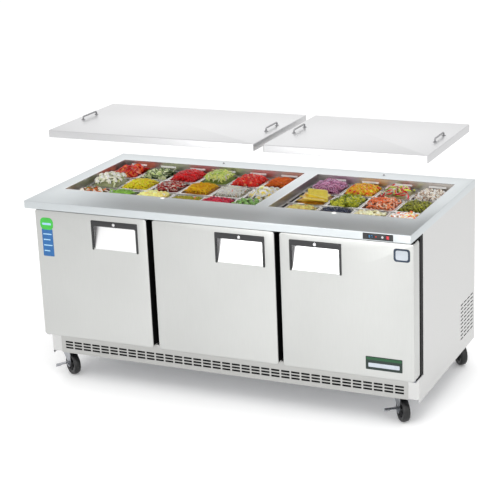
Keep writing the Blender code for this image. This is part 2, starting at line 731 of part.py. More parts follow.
def caster_fork(name, caster):
    """The swivel head, crown and two legs, with the axle bolt and its nuts."""
    crown = 0.1115
    fork = box(f"caster_fork_{name}", (-0.0205, -0.022, crown - 0.0035), (0.0205, 0.046, crown), ZINC)
    head_top = (0, 0, FLOOR_PLATE_LOW - 0.0038)
    head = rod(f"{name} swivel head", (0, 0, crown - 0.001), head_top, 0.026, sides=16)
    pieces = [head]
    top = crown - 0.001
    leg = [(-0.0215, top), (-0.0215, top - 0.008), (TRAIL - 0.010, 0.044), (TRAIL, 0.040)]
    leg += [(TRAIL + 0.010, 0.044), (0.0455, top - 0.008), (0.0455, top)]
    for side in (-1, 1):
        x0, x1 = sorted((side * 0.0180, side * 0.0202))
        pieces.append(prism(f"{name} leg {side}", leg, x0, x1))
        x0, x1 = sorted((side * 0.0240, side * 0.0285))
        ends = [(x0, TRAIL, WHEEL_RADIUS), (x1, TRAIL, WHEEL_RADIUS)]
        pieces.append(rod(f"{name} nut {side}", *ends, 0.007, sides=6))
    ends = [(-0.0290, TRAIL, WHEEL_RADIUS), (0.0290, TRAIL, WHEEL_RADIUS)]
    pieces.append(rod(f"{name} axle", *ends, AXLE_RADIUS))
    for piece in pieces:
        place(piece, caster)
    return join(place(fork, caster), *pieces)


def caster_wheel(name, caster):
    """A rounded tread on a hub, with a flat facet down on the floor."""
    rim = WHEEL_RADIUS / cos(pi / WHEEL_SIDES)
    half = WHEEL_HALF
    hub = half + 0.0012
    low_half = [(AXLE_RADIUS + 0.0004, -hub), (0.012, -hub), (0.036, -half + 0.002)]
    low_half += [(rim - 0.005, -half), (rim, -half + 0.006)]
    high_half = [(r, -z) for r, z in reversed(low_half)]
    profile = list(reversed(low_half + high_half))
    wheel = turned(f"caster_wheel_{name}", profile, RUBBER, WHEEL_SIDES)
    heading = Matrix.Rotation(radians(caster["turn"]), 4, "Z")
    onto_axle = Matrix.Rotation(pi / 2, 4, "Y") @ Matrix.Rotation(pi / WHEEL_SIDES, 4, "Z")
    spot = Matrix.Translation((*caster["at"], 0.0)) @ heading @ Matrix.Translation((0, TRAIL, WHEEL_RADIUS))
    wheel.matrix_world = spot @ onto_axle
    return wheel


def brake_pedal(name, caster):
    """The foot lever on the axle's outer end, with its tread plate."""
    arm = rod(f"brake_pedal_{name}", (0.0208, 0, 0), (0.0237, 0, 0), 0.012, ZINC, 12)
    neck = box(f"{name} pedal neck", (0.0208, -0.024, -0.004), (0.0237, 0.0, 0.007))
    plate = box(f"{name} pedal plate", (0.0215, -0.034, 0.001), (0.070, -0.014, 0.004))
    lip = box(f"{name} pedal lip", (0.040, -0.034, -0.012), (0.062, -0.031, 0.002))
    hole = rod(f"{name} pedal hole", (0.01, 0, 0), (0.03, 0, 0), AXLE_RADIUS + 0.0004)
    spot = Matrix.Translation((*caster["at"], 0.0)) @ Matrix.Rotation(radians(caster["turn"]), 4, "Z")
    for piece in (arm, neck, plate, lip, hole):
        piece.matrix_world = spot @ Matrix.Translation((0, TRAIL, WHEEL_RADIUS))
    return cut(join(arm, neck, plate, lip), hole)


def compressor():
    """A hermetic compressor can on its foot plate."""
    x, y = COMPRESSOR_AT
    floor = FLOOR_PLATE_LOW + 0.0015 + GAP
    corner = (x - 0.095, y - 0.075, floor)
    foot = box("compressor", corner, (x + 0.095, y + 0.075, floor + 0.004), DARK_METAL)
    bm = bmesh.new()
    verts = [bm.verts.new((r, 0.0, z)) for r, z in COMPRESSOR_CAN]
    for a, b in zip(verts, verts[1:]):
        bm.edges.new((a, b))
    can = add("compressor can", bm)
    spin = can.modifiers.new("turn", "SCREW")
    spin.steps = 24
    spin.render_steps = 24
    spin.use_merge_vertices = True
    spin.merge_threshold = 0.0001
    can.location = (x, y, floor)
    return join(foot, can)


def coil(name, spec, axis):
    """A finned block with a round fan shroud sunk in one face, and the fan's shaft in it."""
    low, high = Vector(spec["low"]), Vector(spec["high"])
    block = box(name, low, high, ALUMINIUM)
    mouth = (low + high) / 2
    mouth[axis] = low[axis]
    inward = Vector((0, 0, 0))
    inward[axis] = 1.0
    shroud = rod(f"{name} shroud", mouth - inward * 0.01, mouth + inward * 0.028, spec["radius"], sides=32)
    shaft = rod(f"{name} shaft", mouth + inward * 0.001, mouth + inward * 0.032, 0.003, sides=12)
    return join(cut(block, shroud), shaft)


def fan(name, spec, axis):
    """A hub with pitched blades that turns on the coil's shaft."""
    half = 0.021
    tip = ((spec["radius"] - FAN_CLEAR) ** 2 - half**2) ** 0.5
    hub = rod(name, (0, 0, -0.010), (0, 0, 0.010), 0.022, BLACK, 16)
    blades = []
    count = 5
    for index in range(count):
        blade = box(f"{name} blade {index}", (0.015, -half, -0.001), (tip, half, 0.001))
        around = Matrix.Rotation(2 * pi * index / count, 4, "Z")
        blades.append((blade, around @ Matrix.Rotation(radians(24), 4, "X")))
    bore = rod(f"{name} bore", (0, 0, -0.02), (0, 0, 0.02), 0.0034, sides=12)
    low, high = Vector(spec["low"]), Vector(spec["high"])
    middle = (low + high) / 2
    middle[axis] = low[axis] + 0.014
    onto = Matrix.Rotation(pi / 2, 4, "Y") if axis == 0 else Matrix.Rotation(pi / 2, 4, "X")
    spot = Matrix.Translation(middle) @ onto
    hub.matrix_world = spot
    bore.matrix_world = spot
    for blade, turn in blades:
        blade.matrix_world = spot @ turn
    return cut(join(hub, *[blade for blade, _ in blades]), bore)


def build():
    worktop()
    control_panel()
    power_switch()
    for side in OPENING_X:
        pan_well(side)
        pan_rack(side)
        for index in range(len(PAN_ROWS)):
            pan_row(side, index)
        lid(side)
        x0, x1 = LID_X[side]
        lid_handle(f"lid_handle_{side}_a", x0 + LID_HANDLE_INSET)
        lid_handle(f"lid_handle_{side}_b", x1 - LID_HANDLE_INSET)
    outer_casing()
    base_frame()
    front_grille()
    cabinet_liner()
    face_frame()
    for name, door in DOORS.items():
        hinge_bracket(name, door)
        door_shell(name, door)
        door_liner(name, door)
        door_gasket(name, door)
        handle_trim(name, door)
        door_lock(name, door)
        shelf(name, door)
    for name, caster in CASTERS.items():
        caster_fork(name, caster)
        caster_wheel(name, caster)
        if caster["brake"]:
            brake_pedal(name, caster)
    compressor()
    coil("condenser_coil", CONDENSER, 0)
    fan("condenser_fan", CONDENSER, 0)
    coil("evaporator_coil", EVAPORATOR, 1)
    fan("evaporator_fan", EVAPORATOR, 1)


build()
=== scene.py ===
"""Looks of the refrigerated prep table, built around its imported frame. Metres, +Z up."""

import json
from math import cos, pi, radians, sin
from random import Random

import bmesh
import bpy
from mathutils import Euler, Matrix, Vector


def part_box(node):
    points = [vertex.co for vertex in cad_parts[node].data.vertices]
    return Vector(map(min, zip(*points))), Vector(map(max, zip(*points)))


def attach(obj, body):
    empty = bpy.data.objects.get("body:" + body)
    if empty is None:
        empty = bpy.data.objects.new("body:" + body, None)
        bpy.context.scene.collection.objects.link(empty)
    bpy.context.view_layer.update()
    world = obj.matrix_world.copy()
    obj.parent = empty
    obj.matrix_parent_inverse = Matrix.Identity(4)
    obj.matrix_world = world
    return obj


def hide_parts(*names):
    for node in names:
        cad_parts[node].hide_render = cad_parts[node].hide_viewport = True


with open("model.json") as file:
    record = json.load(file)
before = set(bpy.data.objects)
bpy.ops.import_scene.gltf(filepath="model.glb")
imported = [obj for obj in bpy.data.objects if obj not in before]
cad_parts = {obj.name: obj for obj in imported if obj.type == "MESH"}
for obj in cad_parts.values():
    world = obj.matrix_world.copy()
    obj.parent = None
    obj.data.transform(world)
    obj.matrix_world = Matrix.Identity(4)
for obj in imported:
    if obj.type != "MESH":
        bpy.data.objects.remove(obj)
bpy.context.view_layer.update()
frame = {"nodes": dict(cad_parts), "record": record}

DOORS = ("left", "centre", "right")
SIDES = ("left", "right")
ROWS = ("front", "middle", "rear")
CASTERS = ("front_left", "front_right", "rear_left", "rear_right")
COLUMNS = {"left": 6, "right": 4}

# Sheet steel, doors and pans
SHEET = 0.0012
BEND = 0.003
HANDLE_SIDE = 0.008
HANDLE_BAR = 0.025
POCKET_DEEP = 0.031
DOOR_CORNER = 0.013
PAN_WALL = 0.0008
PAN_DEEP = 0.100

# Front slots (half length, half height), air slots in the wells, and small fittings
GRILLE_COLUMNS = 35
GRILLE_PITCH = 0.0471
GRILLE_MIDDLE = 0.0143
GRILLE_ROWS_Z = (0.147, 0.161, 0.175)
GRILLE_SLOT = (0.0198, 0.0043)
AIR_SLOT_HALF = 0.0415
AIR_SLOT_Z = (0.8455, 0.8545)
BUMPER_AHEAD = 0.0110
CROWN_Z = 0.1115
GOLDEN_RATIO = 0.6180339887

CAMERA_AT = (2.6751, -5.7122, 2.5784)
CAMERA_AZIMUTH = radians(25.21)
CAMERA_ELEVATION = radians(17.51)
CAMERA_ROLL = radians(-2.35)
CAMERA_LENS = 105.4

UPRIGHT = Matrix.Rotation(pi / 2, 4, "X")


# ---------------------------------------------------------------- materials


def tone(red, green, blue):
    """A colour given as 0 to 255 display values, in the linear values that shaders use."""
    return tuple((value / 255.0) ** 2.2 for value in (red, green, blue))


def look(name, colour, rough, metallic=0.0, vary=0.05, scale=60.0, stretch=(1.0, 1.0, 1.0),
         depth=0.0, rough_vary=0.05, cloud=2.5, tinted=False, **sockets):
    """A Principled material whose colour, roughness and relief come from noise in object space."""
    made = bpy.data.materials.new(name)
    made.use_nodes = True
    tree = made.node_tree
    shader = tree.nodes["Principled BSDF"]
    shader.inputs["Metallic"].default_value = metallic
    for key, value in sockets.items():
        shader.inputs[key.replace("_", " ")].default_value = value

    def noise(size, detail, vector):
        grain = tree.nodes.new("ShaderNodeTexNoise")
        grain.inputs["Scale"].default_value = size
        grain.inputs["Detail"].default_value = detail
        tree.links.new(vector, grain.inputs["Vector"])
        return grain.outputs["Fac"]

    where = tree.nodes.new("ShaderNodeTexCoord").outputs["Object"]
    mapping = tree.nodes.new("ShaderNodeMapping")
    mapping.inputs["Scale"].default_value = stretch
    tree.links.new(where, mapping.inputs["Vector"])
    fine = noise(scale, 4.0, mapping.outputs["Vector"])
    broad = noise(cloud, 2.0, where)
    both = tree.nodes.new("ShaderNodeMath")
    both.operation = "ADD"
    tree.links.new(fine, both.inputs[0])
    tree.links.new(broad, both.inputs[1])

    spread = tree.nodes.new("ShaderNodeMapRange")
    spread.inputs["From Min"].default_value = 0.6
    spread.inputs["From Max"].default_value = 1.4
    spread.inputs["To Min"].default_value = 1.0 - vary
    spread.inputs["To Max"].default_value = 1.0 + vary
    tree.links.new(both.outputs["Value"], spread.inputs["Value"])
    shade = tree.nodes.new("ShaderNodeVectorMath")
    shade.operation = "SCALE"
    if tinted:
        attribute = tree.nodes.new("ShaderNodeAttribute")
        attribute.attribute_name = "tint"
        tree.links.new(attribute.outputs["Color"], shade.inputs[0])
    else:
        shade.inputs[0].default_value = colour
    tree.links.new(spread.outputs["Result"], shade.inputs["Scale"])
    tree.links.new(shade.outputs["Vector"], shader.inputs["Base Color"])

    polish = tree.nodes.new("ShaderNodeMapRange")
    polish.inputs["From Min"].default_value = 0.6
    polish.inputs["From Max"].default_value = 1.4
    polish.inputs["To Min"].default_value = max(rough - rough_vary, 0.02)
    polish.inputs["To Max"].default_value = rough + rough_vary
    tree.links.new(both.outputs["Value"], polish.inputs["Value"])
    tree.links.new(polish.outputs["Result"], shader.inputs["Roughness"])

    if depth:
        bump = tree.nodes.new("ShaderNodeBump")
        bump.inputs["Distance"].default_value = depth
        tree.links.new(fine, bump.inputs["Height"])
        tree.links.new(bump.outputs["Normal"], shader.inputs["Normal"])
    return made


ALONG_X = (0.02, 1.0, 1.0)
ALONG_Z = (1.0, 1.0, 0.02)
WORKTOP_STEEL = look("worktop_steel", tone(198, 203, 205), 0.40, 1.0, 0.035, 900, ALONG_X, 0.00002, 0.05)
# Door steel is a darker copy of the sheet steel: painted shade for the dimmer surroundings the door fronts
# reflect.
DOOR_STEEL_SHADED = look("door_steel_shaded", tone(190, 191, 189), 0.36, 1.0, 0.05, 900, ALONG_Z, 0.00002, 0.05)
LID_STEEL = look("lid_steel", tone(201, 201, 202), 0.40, 1.0, 0.02, 900, ALONG_X, 0.00002, 0.04)
CASING_STEEL = look("casing_steel", tone(200, 200, 199), 0.42, 1.0, 0.03, 900, ALONG_Z, 0.00002, 0.05)
HANDLE_STEEL = look("handle_steel", tone(150, 150, 152), 0.25, 1.0, 0.05, 300, ALONG_X, 0.00001, 0.05)
# Lighter polished steel: the real finish of the lock barrels and collars, and on the opening beads a painted
# highlight along the rims.
BRIGHT_STEEL_AND_HIGHLIGHT = look("bright_steel", tone(225, 225, 226), 0.14, 1.0, 0.03, 300, ALONG_X, 0.00001, 0.04)
WELL_STEEL = look("well_steel", tone(206, 204, 202), 0.33, 1.0, 0.04, 500, ALONG_X, 0.00002, 0.05)
PAN_STEEL = look("pan_steel", tone(186, 184, 182), 0.27, 1.0, 0.05, 300, ALONG_X, 0.00001, 0.05)
GRILLE_STEEL = look("grille_steel", tone(176, 176, 174), 0.40, 1.0, 0.03, 900, ALONG_X, 0.00002, 0.05)
POCKET_STEEL = look("pocket_steel", tone(240, 240, 240), 0.34, 1.0, 0.02, 700, ALONG_X, 0.00002, 0.04)
ZINC = look("zinc", tone(158, 160, 164), 0.30, 1.0, 0.08, 90, depth=0.00005, rough_vary=0.10, cloud=30)
ALUMINIUM = look("aluminium", tone(205, 207, 210), 0.36, 1.0, 0.05, 400, ALONG_Z, 0.00003)
BLACK = look("black_plastic", tone(38, 38, 40), 0.42, 0.0, 0.18, 1500, depth=0.00006, cloud=20)
# Deep black for the face frame; on the latch edges and on the screen behind the kick panel's slots it is
# painted shade.
FRAME_AND_SHADE_BLACK = look("frame_and_shade_black", tone(13, 13, 14), 0.60, 0.0, 0.15, 900, depth=0.00004, cloud=10,
                   Specular_IOR_Level=0.15)
DARK_METAL = look("dark_metal", tone(34, 34, 36), 0.45, 0.3, 0.15, 700, depth=0.00005, cloud=15)
RUBBER = look("tyre_rubber", tone(17, 17, 18), 0.42, 0.0, 0.2, 800, depth=0.00008, cloud=25)
GASKET = look("gasket_rubber", tone(15, 15, 16), 0.65, 0.0, 0.15, 900, depth=0.00005, Specular_IOR_Level=0.15)
HUB = look("hub_plastic", tone(24, 24, 26), 0.38, 0.0, 0.15, 900, depth=0.00004, cloud=25)
# White duct plastic with a faint glow: painted light, as the ducts are no lamp.
DUCT_WHITE_GLOW = look("duct_white_glow", tone(244, 244, 242), 0.5, 0.0, 0.03, 700, depth=0.00003,
                  Emission_Color=(1.0, 1.0, 1.0, 1.0), Emission_Strength=0.25)
WHITE_PLASTIC = look("white_plastic", tone(232, 232, 230), 0.35, 0.0, 0.03, 700, depth=0.00003)
WIRE = look("coated_wire", tone(225, 226, 226), 0.33, 0.0, 0.04, 600, depth=0.00004)
BUMPER = look("bumper_nylon", tone(246, 246, 244), 0.38, 0.0, 0.03, 700, depth=0.00003)
RED = look("rocker_red", tone(206, 66, 74), 0.28, 0.0, 0.08, 900, depth=0.00002)
KEY_GREY = look("key_grey", tone(188, 188, 190), 0.42, 0.0, 0.06, 900, depth=0.00003)
GLASS_BLACK = look("display_window", tone(18, 24, 30), 0.12, 0.0, 0.15, 300, cloud=40)
DIGITS = look("display_digits", tone(60, 130, 180), 0.4, 0.0, 0.06, 2000,
              Emission_Color=(*tone(60, 130, 180), 1.0), Emission_Strength=0.25)
LAMP = look("lamp_red", tone(200, 50, 30), 0.25, 0.0, 0.1, 2000,
            Emission_Color=(*tone(220, 50, 20), 1.0), Emission_Strength=0.2)
BADGE_GREEN = look("badge_green", tone(22, 74, 42), 0.4, 0.0, 0.2, 300, rough_vary=0.03, cloud=30)
MARK_NAVY = look("mark_navy", tone(34, 48, 66), 0.4, 0.0, 0.2, 300, rough_vary=0.03, cloud=30)
MARK_GREY = look("mark_grey", tone(176, 182, 190), 0.4, 0.0, 0.12, 300, rough_vary=0.03, cloud=30)
LABEL_GREEN = look("label_green", tone(58, 172, 62), 0.35, 0.0, 0.14, 60, rough_vary=0.03, cloud=18)
LABEL_BLUE = look("label_blue", tone(30, 90, 146), 0.35, 0.0, 0.12, 60, rough_vary=0.03, cloud=14)
LABEL_PALE = look("label_pale", tone(150, 190, 216), 0.4, 0.0, 0.04, 200, rough_vary=0.03)
BADGE_DARK = look("badge_dark", tone(34, 46, 42), 0.35, 0.2, 0.2, 400, rough_vary=0.06, cloud=30)
FOOD = look("fresh_food", (1, 1, 1), 0.34, 0.0, 0.16, 260, depth=0.0006, rough_vary=0.12, cloud=70,
            tinted=True)
DRY_FOOD = look("dry_food", (1, 1, 1), 0.55, 0.0, 0.12, 320, depth=0.0005, rough_vary=0.08, cloud=70,
                tinted=True)


# ---------------------------------------------------------------- shapes


def rounded_rect(x0, y0, x1, y1, radius, z=0.0, steps=4):
    """Points of a rectangle with round corners, counter-clockwise."""
    points = []
    centres = ((x1 - radius, y1 - radius), (x0 + radius, y1 - radius))
    centres += ((x0 + radius, y0 + radius), (x1 - radius, y0 + radius))
    for quarter, (x, y) in enumerate(centres):
        for step in range(steps + 1):
            angle = (quarter + step / steps) * pi / 2
            points.append(Vector((x + radius * cos(angle), y + radius * sin(angle), z)))
    return points


def loft(bm, rings, wrap=False):
    """Skins rings of equal length; the ends are capped unless the last ring joins the first."""
    rows = [[bm.verts.new(point) for point in ring] for ring in rings]
    pairs = list(zip(rows, rows[1:]))
    if wrap:
        pairs.append((rows[-1], rows[0]))
    count = len(rows[0])
    for low, high in pairs:
        for index in range(count):
            after = (index + 1) % count
            bm.faces.new((low[index], low[after], high[after], high[index]))
    if not wrap:
        bm.faces.new(list(reversed(rows[0])))
        bm.faces.new(rows[-1])


def tray(bm, low, high, corner, edge, sheet=SHEET, steps=3):
    """An open box of bent sheet, closed on top, with round corners and a round top edge."""
    def ring(inset, z):
        radius = max(corner - inset, 0.0004)
        return rounded_rect(low[0] + inset, low[1] + inset, high[0] - inset, high[1] - inset, radius, z)

    rings = [ring(sheet + edge, high[2] - sheet), ring(sheet, high[2] - sheet - edge)]
    rings += [ring(sheet, low[2]), ring(0.0, low[2])]
    for step in range(steps + 1):
        angle = step / steps * pi / 2
        rings.append(ring(edge * (1 - cos(angle)), high[2] - edge + edge * sin(angle)))
    loft(bm, rings)


def block(bm, low, high, edge=0.0, segments=2):
    """A box with its edges rounded."""
    low, high = Vector(low), Vector(high)
    size = Matrix.Diagonal((*(high - low), 1.0))
    verts = bmesh.ops.create_cube(bm, size=1.0, matrix=Matrix.Translation((low + high) / 2) @ size)["verts"]
    if edge:
        edges = list({link for vert in verts for link in vert.link_edges})
        bmesh.ops.bevel(bm, geom=edges, offset=edge, segments=segments, profile=0.5, affect="EDGES")


def lathe(bm, profile, matrix=Matrix.Identity(4), sides=32, ring=False):
    """A body turned about local Z from (radius, z) points; ring joins the last point to the first."""
    rings = []
    for radius, z in profile:
        angles = (2 * pi * index / sides for index in range(sides))
        rings.append([matrix @ Vector((radius * cos(a), radius * sin(a), z)) for a in angles])
    loft(bm, rings, wrap=ring)


def extrude(bm, outline, axis, low, high, edge=0.0):
    """A flat outline carried along X, Y or Z, with its far rim rounded by edge."""
    def at(point, level):
        values = list(point)
        values.insert(axis, level)
        return Vector(values)

    face = bm.faces.new([bm.verts.new(at(point, high)) for point in outline])
    grown = bmesh.ops.extrude_face_region(bm, geom=[face], use_keep_orig=True)["geom"]
    moved = [item for item in grown if isinstance(item, bmesh.types.BMVert)]
    shift = at((0.0, 0.0), low - high)
    bmesh.ops.translate(bm, verts=moved, vec=shift)
    if edge:
        rim = [link for vert in moved for link in vert.link_edges if link.other_vert(vert) in moved]
        bmesh.ops.bevel(bm, geom=list(set(rim)), offset=edge, segments=2, profile=0.5, affect="EDGES")


def bead(bm, x0, y0, x1, y1, corner, z, radius, sides=8):
    """A round bead laid along a rounded rectangle."""
    rings = []
    for index in range(sides):
        angle = 2 * pi * index / sides
        inset = radius * cos(angle)
        ring = rounded_rect(x0 + inset, y0 + inset, x1 - inset, y1 - inset, corner - inset, z)
        rings.append([point + Vector((0, 0, radius * sin(angle))) for point in ring])
    loft(bm, rings, wrap=True)


def temporary(bm):
    """An object made only to be used in a Boolean."""
    bmesh.ops.recalc_face_normals(bm, faces=bm.faces)
    mesh = bpy.data.meshes.new("temporary")
    bm.to_mesh(mesh)
    bm.free()
    made = bpy.data.objects.new("temporary", mesh)
    bpy.context.scene.collection.objects.link(made)
    return made


def worked(bm, tools, operation):
    """bm after a Boolean with each tool, as a new bmesh."""
    base = temporary(bm)
    others = [temporary(tool) for tool in tools]
    for other in others:
        change = base.modifiers.new("work", "BOOLEAN")
        change.operation = operation
        change.solver = "EXACT"
        change.object = other
    shaped = base.evaluated_get(bpy.context.evaluated_depsgraph_get())
    result = bmesh.new()
    result.from_mesh(shaped.to_mesh())
    shaped.to_mesh_clear()
    for used in (base, *others):
        mesh = used.data
        bpy.data.objects.remove(used)
        bpy.data.meshes.remove(mesh)
    return result


def boxes(*corners, edge=0.0):
    """One bmesh for each (low, high) pair."""
    made = []
    for low, high in corners:
        bm = bmesh.new()
        block(bm, low, high, edge)
        made.append(bm)
    return made


def piece(name, bm, material, body, replaces=(), turn=None, sharp=38):
    """Turns bm into a finished piece that rides on a body."""
    bmesh.ops.recalc_face_normals(bm, faces=bm.faces)
    mesh = bpy.data.meshes.new(name)
    bm.to_mesh(mesh)
    bm.free()
    if turn:
        mesh.transform(turn)
    mesh.materials.append(material)
    for polygon in mesh.polygons:
        polygon.use_smooth = True
    mesh.set_sharp_from_angle(angle=radians(sharp))
    made = bpy.data.objects.new(name, mesh)
    bpy.context.scene.collection.objects.link(made)
    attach(made, body)
    if replaces:
        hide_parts(*replaces)
    return made


def slab(name, low, high, edge, material, segments=2):
    """A plain bar or plate fixed to the cabinet."""
    bm = bmesh.new()
    block(bm, low, high, edge, segments)
    piece(name, bm, material, "cabinet")


def turned(name, profile, matrix, sides, material):
    """A small turned piece fixed to the cabinet."""
    bm = bmesh.new()
    lathe(bm, profile, matrix, sides)
    piece(name, bm, material, "cabinet")


def upright(x0, z0, x1, z1, radius, y, steps=4):
    """Points of a rectangle with round corners that faces the front."""
    return [Vector((point.x, y, point.y)) for point in rounded_rect(x0, z0, x1, z1, radius, 0.0, steps)]


def joint(name):
    """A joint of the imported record, by name."""
    for made in frame["record"]["behaviour"]["joints"]:
        if made["name"] == name:
            return made
    raise KeyError(name)


# ---------------------------------------------------------------- steelwork


def opening(side):
    """Corners of a pan opening, from the well under it."""
    low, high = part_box(f"pan_well_{side}")
    return low.x + SHEET, low.y + SHEET, high.x - SHEET, high.y - SHEET


def worktop():
    """The bent top with its openings, the beads round them, and its pins and bumpers."""
    low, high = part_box("worktop")
    bm = bmesh.new()
    tray(bm, low, high, 0.004, BEND)
    cuts = []
    for side in SIDES:
        x0, y0, x1, y1 = opening(side)
        cuts.append(((x0, y0, high.z - 0.02), (x1, y1, high.z + 0.02)))
    panel_low, panel_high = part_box("control_panel")
    margin = 0.0004
    cuts.append(((panel_low.x - margin, low.y - 0.01, panel_low.z - margin),
                 (panel_high.x + margin, low.y + 0.02, panel_high.z + margin)))
    bm = worked(bm, boxes(*cuts), "DIFFERENCE")
    piece("worktop_sheet", bm, WORKTOP_STEEL, "cabinet", ["worktop"])
    for side in SIDES:
        x0, y0, x1, y1 = opening(side)
        bm = bmesh.new()
        bead(bm, x0 - 0.0006, y0 - 0.0006, x1 + 0.0006, y1 + 0.0006, 0.004, high.z - 0.0004, 0.0014)
        # The bead's lighter steel is a painted highlight along the opening's rim.
        piece(f"opening_bead_{side}", bm, BRIGHT_STEEL_AND_HIGHLIGHT, "cabinet")
        middle = (x0 + x1) / 2 + (0.037 if side == "left" else -0.019)
        bumper(side, middle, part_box(f"lid_{side}")[0].y, high.z)
        pin(side, middle - 0.008, y1 + 0.064, high.z)


def ducts():
    """Lips round the air slots of the wells and the pale ducts seen through them, which glow faintly as
    painted light.
    """
    for side in SIDES:
        low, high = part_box(f"pan_row_{side}_rear")
        well_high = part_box(f"pan_well_{side}")[1]
        pitch = (high.x - low.x) / COLUMNS[side]
        lips, backs = bmesh.new(), bmesh.new()
        for column in range(COLUMNS[side]):
            x = low.x + (column + 0.5) * pitch
            rings = []
            for grow, y in ((0.0, 0.0), (0.0, -0.0007), (0.0012, -0.0007), (0.0012, 0.0)):
                left, right = x - AIR_SLOT_HALF - grow, x + AIR_SLOT_HALF + grow
                low_z, high_z = AIR_SLOT_Z[0] - grow, AIR_SLOT_Z[1] + grow
                rings.append(upright(left, low_z, right, high_z, 0.0015 + grow, well_high.y - SHEET + y))
            loft(lips, rings, wrap=True)
            block(backs, (x - 0.046, well_high.y + 0.0008, 0.842), (x + 0.046, well_high.y + 0.0018, 0.858),
                  0.0003, 1)
        piece(f"slot_lips_{side}", lips, PAN_STEEL, "cabinet")
        piece(f"duct_backs_{side}", backs, DUCT_WHITE_GLOW, "cabinet")


def back_panel():
    """The seams and screws of the casing's back."""
    low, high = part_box("outer_casing")
    seam, heads = bmesh.new(), bmesh.new()
    outward = Matrix.Rotation(-pi / 2, 4, "X")
    for z in (low.z + 0.035, high.z - 0.060):
        block(seam, (low.x + 0.02, high.y - 0.0001, z - 0.012), (high.x - 0.02, high.y + 0.0008, z + 0.012),
              0.0003, 1)
        for index in range(9):
            x = low.x + 0.05 + index * (high.x - low.x - 0.10) / 8
            spot = Matrix.Translation((x, high.y + 0.0008, z)) @ outward
            lathe(heads, [(0.0042, 0.0), (0.0040, 0.0006), (0.0026, 0.0014), (0.0008, 0.0016)], spot, 14)
    piece("back_seams", seam, CASING_STEEL, "cabinet")
    piece("back_screws", heads, ZINC, "cabinet")


def kick_panel():
    """The slotted kick panel, a black screen behind its slots as painted shade, and the seal strip over it.
    """
    low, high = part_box("front_grille")
    source = frame["nodes"]["front_grille"]
    bm = bmesh.new()
    bm.from_mesh(source.data)
    bm.transform(source.matrix_world)
    slots = bmesh.new()
    for column in range(GRILLE_COLUMNS):
        x = GRILLE_MIDDLE + (column - (GRILLE_COLUMNS - 1) / 2) * GRILLE_PITCH
        for z in GRILLE_ROWS_Z:
            corners = (x - GRILLE_SLOT[0], z - GRILLE_SLOT[1], x + GRILLE_SLOT[0], z + GRILLE_SLOT[1])
            loft(slots, [upright(*corners, 0.0016, low.y + y, 2) for y in (-0.004, 0.0022)])
    bm = worked(bm, [slots], "DIFFERENCE")
    piece("kick_panel", bm, GRILLE_STEEL, "cabinet", ["front_grille"])
    # A black sheet just behind the slots: painted shade that makes the slots read dark.
    y0, y1 = low.y + 0.0028, low.y + 0.0036
    slab("slot_shade_screen", (low.x + 0.012, y0, low.z + 0.006), (high.x - 0.012, y1, low.z + 0.062), 0.0003,
         FRAME_AND_SHADE_BLACK, 1)
    slab("threshold_strip", (low.x + 0.004, low.y + 0.014, high.z - 0.0002),
         (high.x - 0.004, low.y + 0.060, high.z + 0.0022), 0.0006, GASKET, 1)


def bumper(side, x, y, z):
    """A low round nylon bumper just in front of where a lid comes down."""
    profile = [(0.0100, 0.0), (0.0100, 0.0022), (0.0090, 0.0036), (0.0062, 0.0046), (0.0010, 0.0050)]
    spot = Matrix.Translation((x, y - BUMPER_AHEAD, z))
    turned(f"lid_bumper_{side}", profile, spot, 28, BUMPER)


def pin(side, x, y, z):
    """A small round stop on the rear band."""
    profile = [(0.0055, 0.0), (0.0055, 0.0010), (0.0038, 0.0016), (0.0034, 0.0036), (0.0022, 0.0046)]
    profile.append((0.0006, 0.0048))
    turned(f"lid_pin_{side}", profile, Matrix.Translation((x, y, z)), 20, HANDLE_STEEL)


def lids():
    """The bent lid sheets and the round feet of their handles."""
    for side in SIDES:
        low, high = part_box(f"lid_{side}")
        bm = bmesh.new()
        tray(bm, low, high, 0.007, BEND)
        piece(f"lid_sheet_{side}", bm, LID_STEEL, f"lid_{side}", [f"lid_{side}"])
        for end in "ab":
            foot_low, foot_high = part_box(f"lid_handle_{side}_{end}")
            bm = bmesh.new()
            for y in (foot_low.y + 0.004, foot_high.y - 0.004):
                x = (foot_low.x + foot_high.x) / 2
                profile = [(0.0095, 0.0), (0.0095, 0.0008), (0.0075, 0.0022), (0.0044, 0.0026)]
                lathe(bm, profile, Matrix.Translation((x, y, high.z)), 24)
            piece(f"lid_handle_feet_{side}_{end}", bm, HANDLE_STEEL, f"lid_{side}")


def curved_pocket(front, foot, head, left, right):
    """The sloping back of a handle pocket: a bent sheet, deep at its head and flush at its foot."""
    face = []
    steps = 8
    for step in range(steps + 1):
        t = step / steps
        face.append(Vector((front + SHEET + (POCKET_DEEP - SHEET) * (1.12 * t - 0.12 * t * t),
                            foot + (head - foot) * t)))
    face += [Vector((front + POCKET_DEEP * 0.8, head + 0.0016)), Vector((front + 0.004, head + 0.0016))]
    back = [point + Vector((0.0010, -0.0004)) for point in face[: steps + 1]]
    back += [Vector((face[-2].x, head + 0.0028)), Vector((face[-1].x, head + 0.0028))]
    bm = bmesh.new()
    extrude(bm, face + list(reversed(back)), 0, left, right)
    return bm


